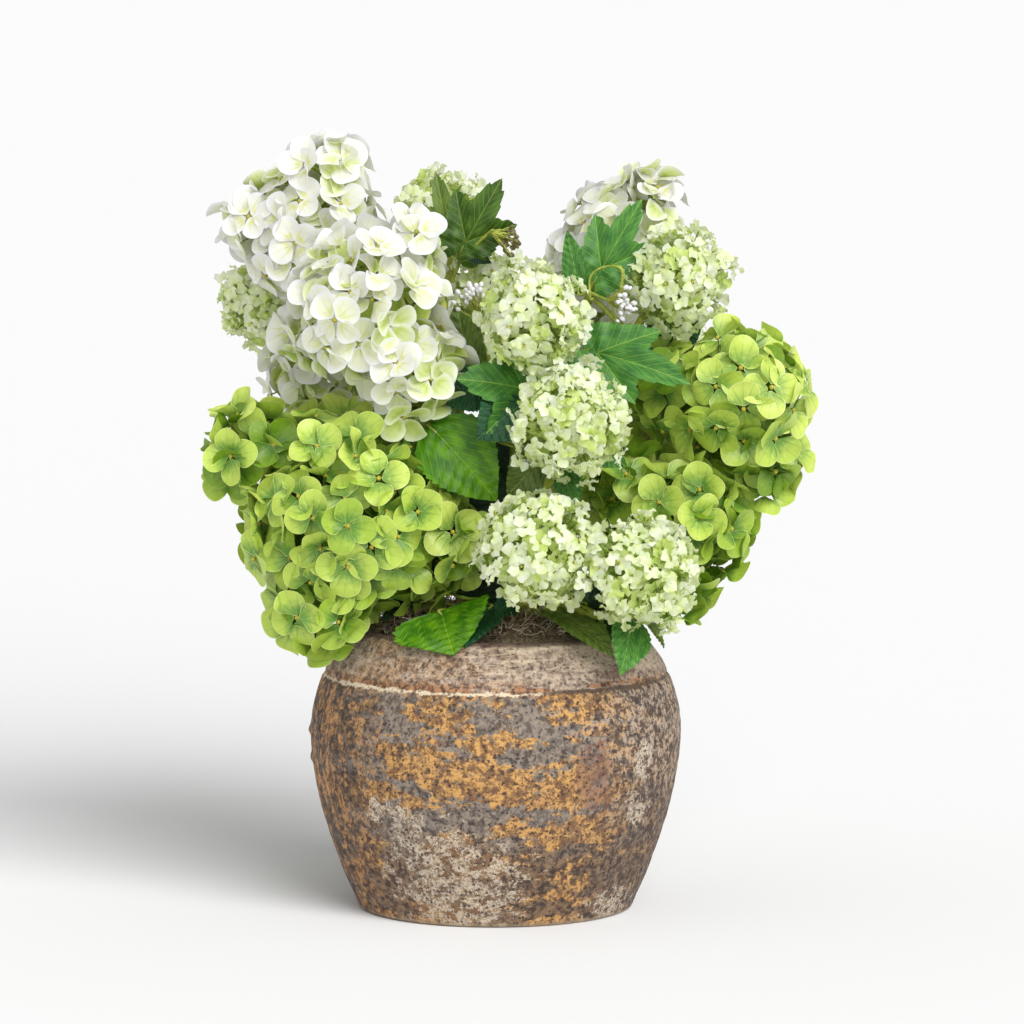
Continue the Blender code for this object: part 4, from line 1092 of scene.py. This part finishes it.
def add_lobed(pile, foot, tip, width, tone, rng):
    """A three-lobed, toothed leaf, with a vein along each lobe."""
    rings, sides = 9, 144
    out, turn = pairs(np.linspace(0.02, 1.0, rings), np.linspace(-math.pi, math.pi, sides, endpoint=False))
    degrees = np.abs(np.degrees(turn))
    reach = np.interp(degrees, *zip(*LOBE_OUTLINE))
    out = out * (reach * (1.0 - 0.085 * ((degrees / LOBED_TOOTH) % 1.0) * (degrees < 128)))
    x, y = out * np.sin(turn), out * np.cos(turn)
    lobe = np.where(degrees < 25, 0.0, np.sign(turn) * math.radians(50))
    beside = np.abs(out * np.sin(turn - lobe))
    forward = np.clip(out * np.cos(turn - lobe), 0.0, 1.0)
    along, right, normal = blade_frame(foot, tip)
    share = (LOBED_FOOT + (1.0 - LOBED_FOOT) * y)[:, None]
    across = (x * width / LOBED_WIDTH)[:, None]
    quilt = 0.035 * np.sin((forward - beside * 0.75) * 8.0 * math.pi) * np.minimum(beside * 4, 0.35)
    rise = 0.35 * beside * (1 - beside) + quilt - 0.10 * x**2
    rise = rise + 0.05 * np.sin(turn * 3 + rng.uniform(0, FULL_TURN)) * out**2
    rise = (rise[:, None] + 0.16 * share * (1 - share) - 0.12 * share**2) * np.linalg.norm(along)
    uv = np.stack([np.clip(beside / 0.55, 0, 1), forward], axis=1)
    points = rest_on_jar(foot + along * share + right * across + normal * rise)
    pile.add(points, grid_faces(rings, sides, closed=True), tile(uv, tone, len(LEAF_TONES)), tone)


def add_buds(buds, stalks, foot, tip, width, tone, rng):
    """A loose cluster of small buds, each on its own stalk."""
    along, right, normal = blade_frame(foot, tip)
    points, faces = ball(2)
    for _ in range(BUD_COUNT):
        spread = np.clip(rng.normal(size=2), -1.7, 1.7) * 0.30
        end = foot + along * rng.uniform(0.55, 1.15) + right * spread[0] * width + normal * spread[1] * width
        heading = unit(end - foot)
        size = rng.uniform(0.0013, 0.0020)
        buds.add((points * (size, size, size * 1.35)) @ turn_to(heading).T + end, faces, None, tone)
        middle = (foot + end) / 2 + right * rng.normal(0, 0.001)
        stalks.add(*tube([foot, middle, end - heading * size], (0.0006, 0.0005, 0.0005), 3))


def add_loop(pile, foot, tip, width):
    """A stalk that rises in a loop, bends over, and ends in a small coil."""
    over = foot + (tip - foot) * 0.45
    raised = [place + (0.0, 0.0, width * rise) for place, rise in ((foot, 1.0), (over, 1.25), (tip, 0.9))]
    line = smooth_line([foot, *raised, tip], 16)
    share = np.linspace(0.0, 1.0, len(line))
    coil = 0.0005 * smoothstep(share, 0.66, 0.72) * (1.0 + np.sin(share * 150.0))
    pile.add(*tube(line, 0.0009 + coil, 8))


def add_leaves(lines, rng):
    """Each spray's twig, from its bough to its fork, and what the fork carries."""
    leaves, buds, stalks, twigs = Pile("leaves"), Pile("buds"), Pile("bud_stalks"), Pile("twigs")
    tones, bud_tones = list(LEAF_TONES), list(BUD_TONES)
    for bough, fork, blades in SPRAYS.values():
        fork = np.array(fork)
        below = Vector((fork[0], fork[1], max(fork[2] - TWIG_RISE, FILL_TOP + TWIG_RISE / 2)))
        path = lines[bough][0]
        near = [nearest_on_segment(below, a, b) for a, b in zip(path, path[1:])]
        start = np.array(min(near, key=lambda point: (point - below).length))
        middle = (start + fork) / 2 + unit(fork - start) * 0.001
        twigs.add(*tube(smooth_line([start, middle, fork], 6), TWIG_RADIUS, 8))
        for kind, foot, tip, width, tone in blades:
            foot, tip = np.array(foot), np.array(tip)
            points = smooth_line([fork, foot, foot + (tip - foot) * 0.12], 5)
            twigs.add(*tube(points, np.linspace(*TWIG_ENDS, len(points)), 8))
            if kind == OVAL:
                add_oval(leaves, foot, tip, width, tones.index(tone), rng)
            elif kind == LOBED:
                add_lobed(leaves, foot, tip, width, tones.index(tone), rng)
            elif kind == LOOP:
                add_loop(twigs, foot, tip, width)
            else:
                add_buds(buds, stalks, foot, tip, width, bud_tones.index(tone), rng)
    materials = [
        leaf_material("leaf_" + name, i, len(tones), LEAF_TONES[name], LEAF_ROUGHNESS)
        for i, name in enumerate(tones)
    ]
    made = leaves.make(materials)
    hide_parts(*SPRAYS)
    made = buds.make([plain_material("bud_" + name, *pair, 500.0, 0.5) for name, pair in BUD_TONES.items()])
    made = stalks.make([plain_material("bud_stalk", (186, 190, 84), (160, 170, 66), 300.0)])
    made = twigs.make([plain_material("twig_green", (178, 186, 80), (136, 152, 56), 200.0, 0.5)])


def add_stems(lines, rng):
    """The boughs, as smooth stems with slight knuckles, and what branches from them inside each bloom."""
    stems = Pile("stems")
    for name, (points, _) in lines.items():
        middle, *others = (np.array(lobe[:3]) for lobe in BLOOMS[name][1])
        line = smooth_line(points, 8)
        share = np.linspace(0.0, 1.0, len(line))
        radii = BOUGH_FOOT_RADIUS + (BOUGH_TIP_RADIUS - BOUGH_FOOT_RADIUS) * share
        radii = radii * (1.0 + 0.05 * np.sin(share * 40.0 + rng.uniform(0, FULL_TURN)))
        stems.add(*tube(line, radii, 14))
        stems.add(*tube(smooth_line([line[-1], (line[-1] + middle) / 2, middle], 4), 0.0026, 8))
        for other in others:
            stems.add(*tube(smooth_line([middle, (middle + other) / 2, other], 4), 0.0020, 8))
    made = stems.make([plain_material("stem_skin", (172, 176, 70), (132, 146, 54), 120.0, 0.5)])
    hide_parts(*("stem_" + name for name in BLOOMS))


# ---------------------------------------------------------------- jar and moss
JAR_ROWS = 210
JAR_COLUMNS = 360
JAR_FINE = (0.171, 0.006, 0.198)  # rows lie closer within the second of the first height, and above the third
GROOVE_WIDTH = 0.0016
GROOVE_DEPTH = 0.0011
BLISTERS = (((-0.1345, 0.0, 0.129), 0.0018), ((-0.1335, -0.004, 0.109), 0.0015))  # (place, rise)
BLISTER_WIDTH = 0.0032
RIM_TILT = 0.010
RIM_DROP = 0.0008
MOSS_RADIUS = 0.0955
MOSS_SHOULDER = 0.064  # the mound falls from here to its edge
MOSS_RINGS = 46
MOSS_SIDES = 170
FIBRE_COUNT = 1300
FIBRE_SPREAD = 0.088
FIBRE_REACH = 0.0935
FIBRE_HEIGHTS = (0.205, 0.226)


def lump(x, y, z, size):
    return noise.noise(Vector((x, y, z))) * size


def add_jar():
    """The jar turned from its profile, finest at the groove and the rim, as uneven as thrown clay."""
    profile = np.array(JAR_PROFILE)
    line = smooth_line(profile[1:], 12)
    line = np.concatenate([np.linspace(profile[0], line[0], 8, endpoint=False), line])
    step = np.linalg.norm(np.diff(line, axis=0), axis=1)
    height = (line[1:, 1] + line[:-1, 1]) / 2
    middle, width, top = JAR_FINE
    weight = step * (1.0 + 2.0 * np.exp(-(((height - middle) / width) ** 2)) + 1.5 * (height > top))
    along = np.concatenate([[0.0], np.cumsum(weight)])
    at = np.linspace(0.0, along[-1], JAR_ROWS)
    turn = circle(JAR_COLUMNS)
    points = np.empty((JAR_ROWS, JAR_COLUMNS, 3))
    for row, r, z in zip(points, np.interp(at, along, line[:, 0]), np.interp(at, along, line[:, 1])):
        groove = math.exp(-(((z - GROOVE_HEIGHT) / GROOVE_WIDTH) ** 2)) if r > 0.12 else 0.0
        ring = lump(0.0, 5.0, z * 140.0, 0.00035)
        free = min(1.0, r / 0.09) * min(1.0, z / 0.004)
        for column, x, y in zip(row, np.cos(turn), np.sin(turn)):
            uneven = lump(x * 1.3, y * 1.3, z * 9.0, 0.0011) + lump(x * 6.0, y * 6.0, z * 46.0, 0.00045)
            grain = noise.fractal(Vector((x * 26.0, y * 26.0, z * 200.0)), 0.7, 2.0, 3) * 0.00022
            depth = groove * GROOVE_DEPTH * (0.7 + lump(x * 3, y * 3, 2.0, 0.6))
            out = r + (uneven + grain + ring) * free - depth
            column[:] = out * x, out * y, z
    for centre, size in BLISTERS:
        away = np.linalg.norm(points - centre, axis=2)
        points[:, :, 0] -= size * np.exp(-((away / BLISTER_WIDTH) ** 2))
    # The rim dips a little to the right.
    dip = smoothstep(points[:, :, 2], 0.15, 0.2)
    points[:, :, 2] -= dip * RIM_TILT * points[:, :, 0] + dip * RIM_DROP
    jar = Pile("jar_body")
    jar.add(points.reshape(-1, 3), grid_faces(JAR_ROWS, JAR_COLUMNS, closed=True))
    made = jar.make([jar_material()])
    wrap_map(made.data)
    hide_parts("jar")


def wrap_map(mesh):
    """Unrolls the jar into the map, with its seam at the first column's own corners."""
    row, column = pairs(np.arange(JAR_ROWS - 1), np.arange(JAR_COLUMNS))
    u = np.stack([column, column + 1, column + 1, column], axis=1) / JAR_COLUMNS
    v = np.stack([row, row, row + 1, row + 1], axis=1) / (JAR_ROWS - 1)
    mesh.uv_layers["OFBake"].data.foreach_set("uv", np.stack([u, v], axis=2).astype(np.float32).ravel())


def add_moss(rng):
    """The mound of dry moss in the jar's mouth, and loose fibres on it."""
    out, turn = pairs(np.linspace(0.0, MOSS_RADIUS, MOSS_RINGS), circle(MOSS_SIDES))
    x, y = out * np.cos(turn), out * np.sin(turn)
    height = 0.2125 - 0.0135 * smoothstep(out, MOSS_SHOULDER, MOSS_RADIUS)
    rough = [noise.fractal(Vector((a * 70.0, b * 70.0, 1.0)), 0.6, 2.2, 4) for a, b in zip(x, y)]
    height = height + 0.0042 * np.array(rough) * smoothstep(MOSS_RADIUS + 0.003 - out, 0.0, 0.02) + 0.003
    moss = Pile("moss_bed")
    moss.add(np.stack([x, y, height], axis=1), grid_faces(MOSS_RINGS, MOSS_SIDES, closed=True))
    made = moss.make([plain_material("dry_moss", (142, 126, 102), (84, 70, 54), 420.0, 0.95, 0.0015)])
    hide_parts("fill")
    fibres = Pile("moss_fibres")
    for _ in range(FIBRE_COUNT):
        reach, turn = FIBRE_SPREAD * math.sqrt(rng.random()), rng.uniform(0, FULL_TURN)
        height = 0.2155 - 0.010 * smoothstep(reach, MOSS_SHOULDER, MOSS_RADIUS)
        line = [np.array([reach * math.cos(turn), reach * math.sin(turn), height])]
        heading = unit(np.array([rng.normal(), rng.normal(), rng.uniform(-0.1, 0.5)]))
        for _ in range(5):
            heading = unit(heading + rng.normal(size=3) * (0.5, 0.5, 0.35))
            line.append(line[-1] + heading * rng.uniform(0.002, 0.0045))
        line = np.array(line)
        far = np.hypot(line[:, 0], line[:, 1])
        line[:, :2] *= np.minimum(1.0, FIBRE_REACH / np.maximum(far, 0.001))[:, None]
        line[:, 2] = np.clip(line[:, 2], *FIBRE_HEIGHTS)
        tone = int(rng.integers(len(FIBRE_TONES)))
        points, faces = tube(line, np.linspace(0.00055, 0.0003, len(line)), 3)
        fibres.add(points, faces, None, tone)
    materials = [plain_material(f"fibre_{i}", *pair, 300.0, 0.9) for i, pair in enumerate(FIBRE_TONES)]
    made = fibres.make(materials)


# ---------------------------------------------------------------- studio
FLOOR_REACH = 600.0
FLOOR_SHADE = 0.61
WORLD_STRENGTH = 0.60
# Each sun: name, heading, spread in degrees, strength. A backdrop lights only the floor, the others the rest.
SUNS = (
    ("key", (-0.50, 0.68, -0.64), 36.0, 2.05),
    ("front", (0.22, 0.88, -0.42), 70.0, 0.95),
    ("backdrop", (-0.55, 0.88, -0.48), 44.0, 4.60),
    ("backdrop_low", (-0.38, 0.95, -0.25), 54.0, 4.60),
)
CAMERA_PLACE = (0.0117, -3.95, 0.689)
CAMERA_TILT = 84.2  # degrees from straight down
CAMERA_LENS = 192.66
CAMERA_SENSOR = 36.0


def add_studio():
    mesh = bpy.data.meshes.new("floor")
    corners = [(x * FLOOR_REACH, y * FLOOR_REACH, 0) for x, y in ((-1, -1), (1, -1), (1, 1), (-1, 1))]
    mesh.from_pydata(corners, [], [(0, 1, 2, 3)])
    floor_obj = placed("floor", mesh)
    graph = Graph("studio_floor", 0.9)
    mesh.materials.append(graph.colour((FLOOR_SHADE, FLOOR_SHADE, FLOOR_SHADE, 1.0)))
    graph.put(graph.shader.inputs["Specular IOR Level"], 0.0)
    world = bpy.data.worlds.new("studio")
    world.use_nodes = True
    background = world.node_tree.nodes["Background"]
    background.inputs[0].default_value = (1.0, 1.0, 1.0, 1.0)
    background.inputs[1].default_value = WORLD_STRENGTH
    bpy.context.scene.world = world
    for name, heading, spread, strength in SUNS:
        lamp = bpy.data.lights.new(name, "SUN")
        lamp.angle = math.radians(spread)
        lamp.energy = strength
        obj = placed(name, lamp)
        obj.rotation_euler = Vector(heading).to_track_quat("-Z", "Y").to_euler()
        lit = bpy.data.collections.new("lit_by_" + name)
        lit.objects.link(floor_obj)
        state = "INCLUDE" if name.startswith("backdrop") else "EXCLUDE"
        lit.collection_objects[0].light_linking.link_state = state
        obj.light_linking.receiver_collection = lit
    camera = bpy.data.cameras.new("camera")
    camera.lens = CAMERA_LENS
    camera.sensor_width = CAMERA_SENSOR
    camera.clip_end = 2000.0
    view = placed("camera", camera)
    view.location = CAMERA_PLACE
    view.rotation_euler = (math.radians(CAMERA_TILT), 0.0, 0.0)
    bpy.context.scene.camera = view
    bpy.context.scene.view_settings.view_transform = "Standard"


def main():
    add_studio()
    lines = bough_lines()
    add_hydrangeas(WHITE, np.random.default_rng(SEED))
    add_hydrangeas(LIME, np.random.default_rng(SEED + 1))
    add_snowballs(np.random.default_rng(SEED + 2))
    add_eyes_and_stalks()
    add_leaves(lines, np.random.default_rng(SEED + 3))
    add_stems(lines, np.random.default_rng(SEED + 4))
    add_jar()
    add_moss(np.random.default_rng(SEED + 5))


main()
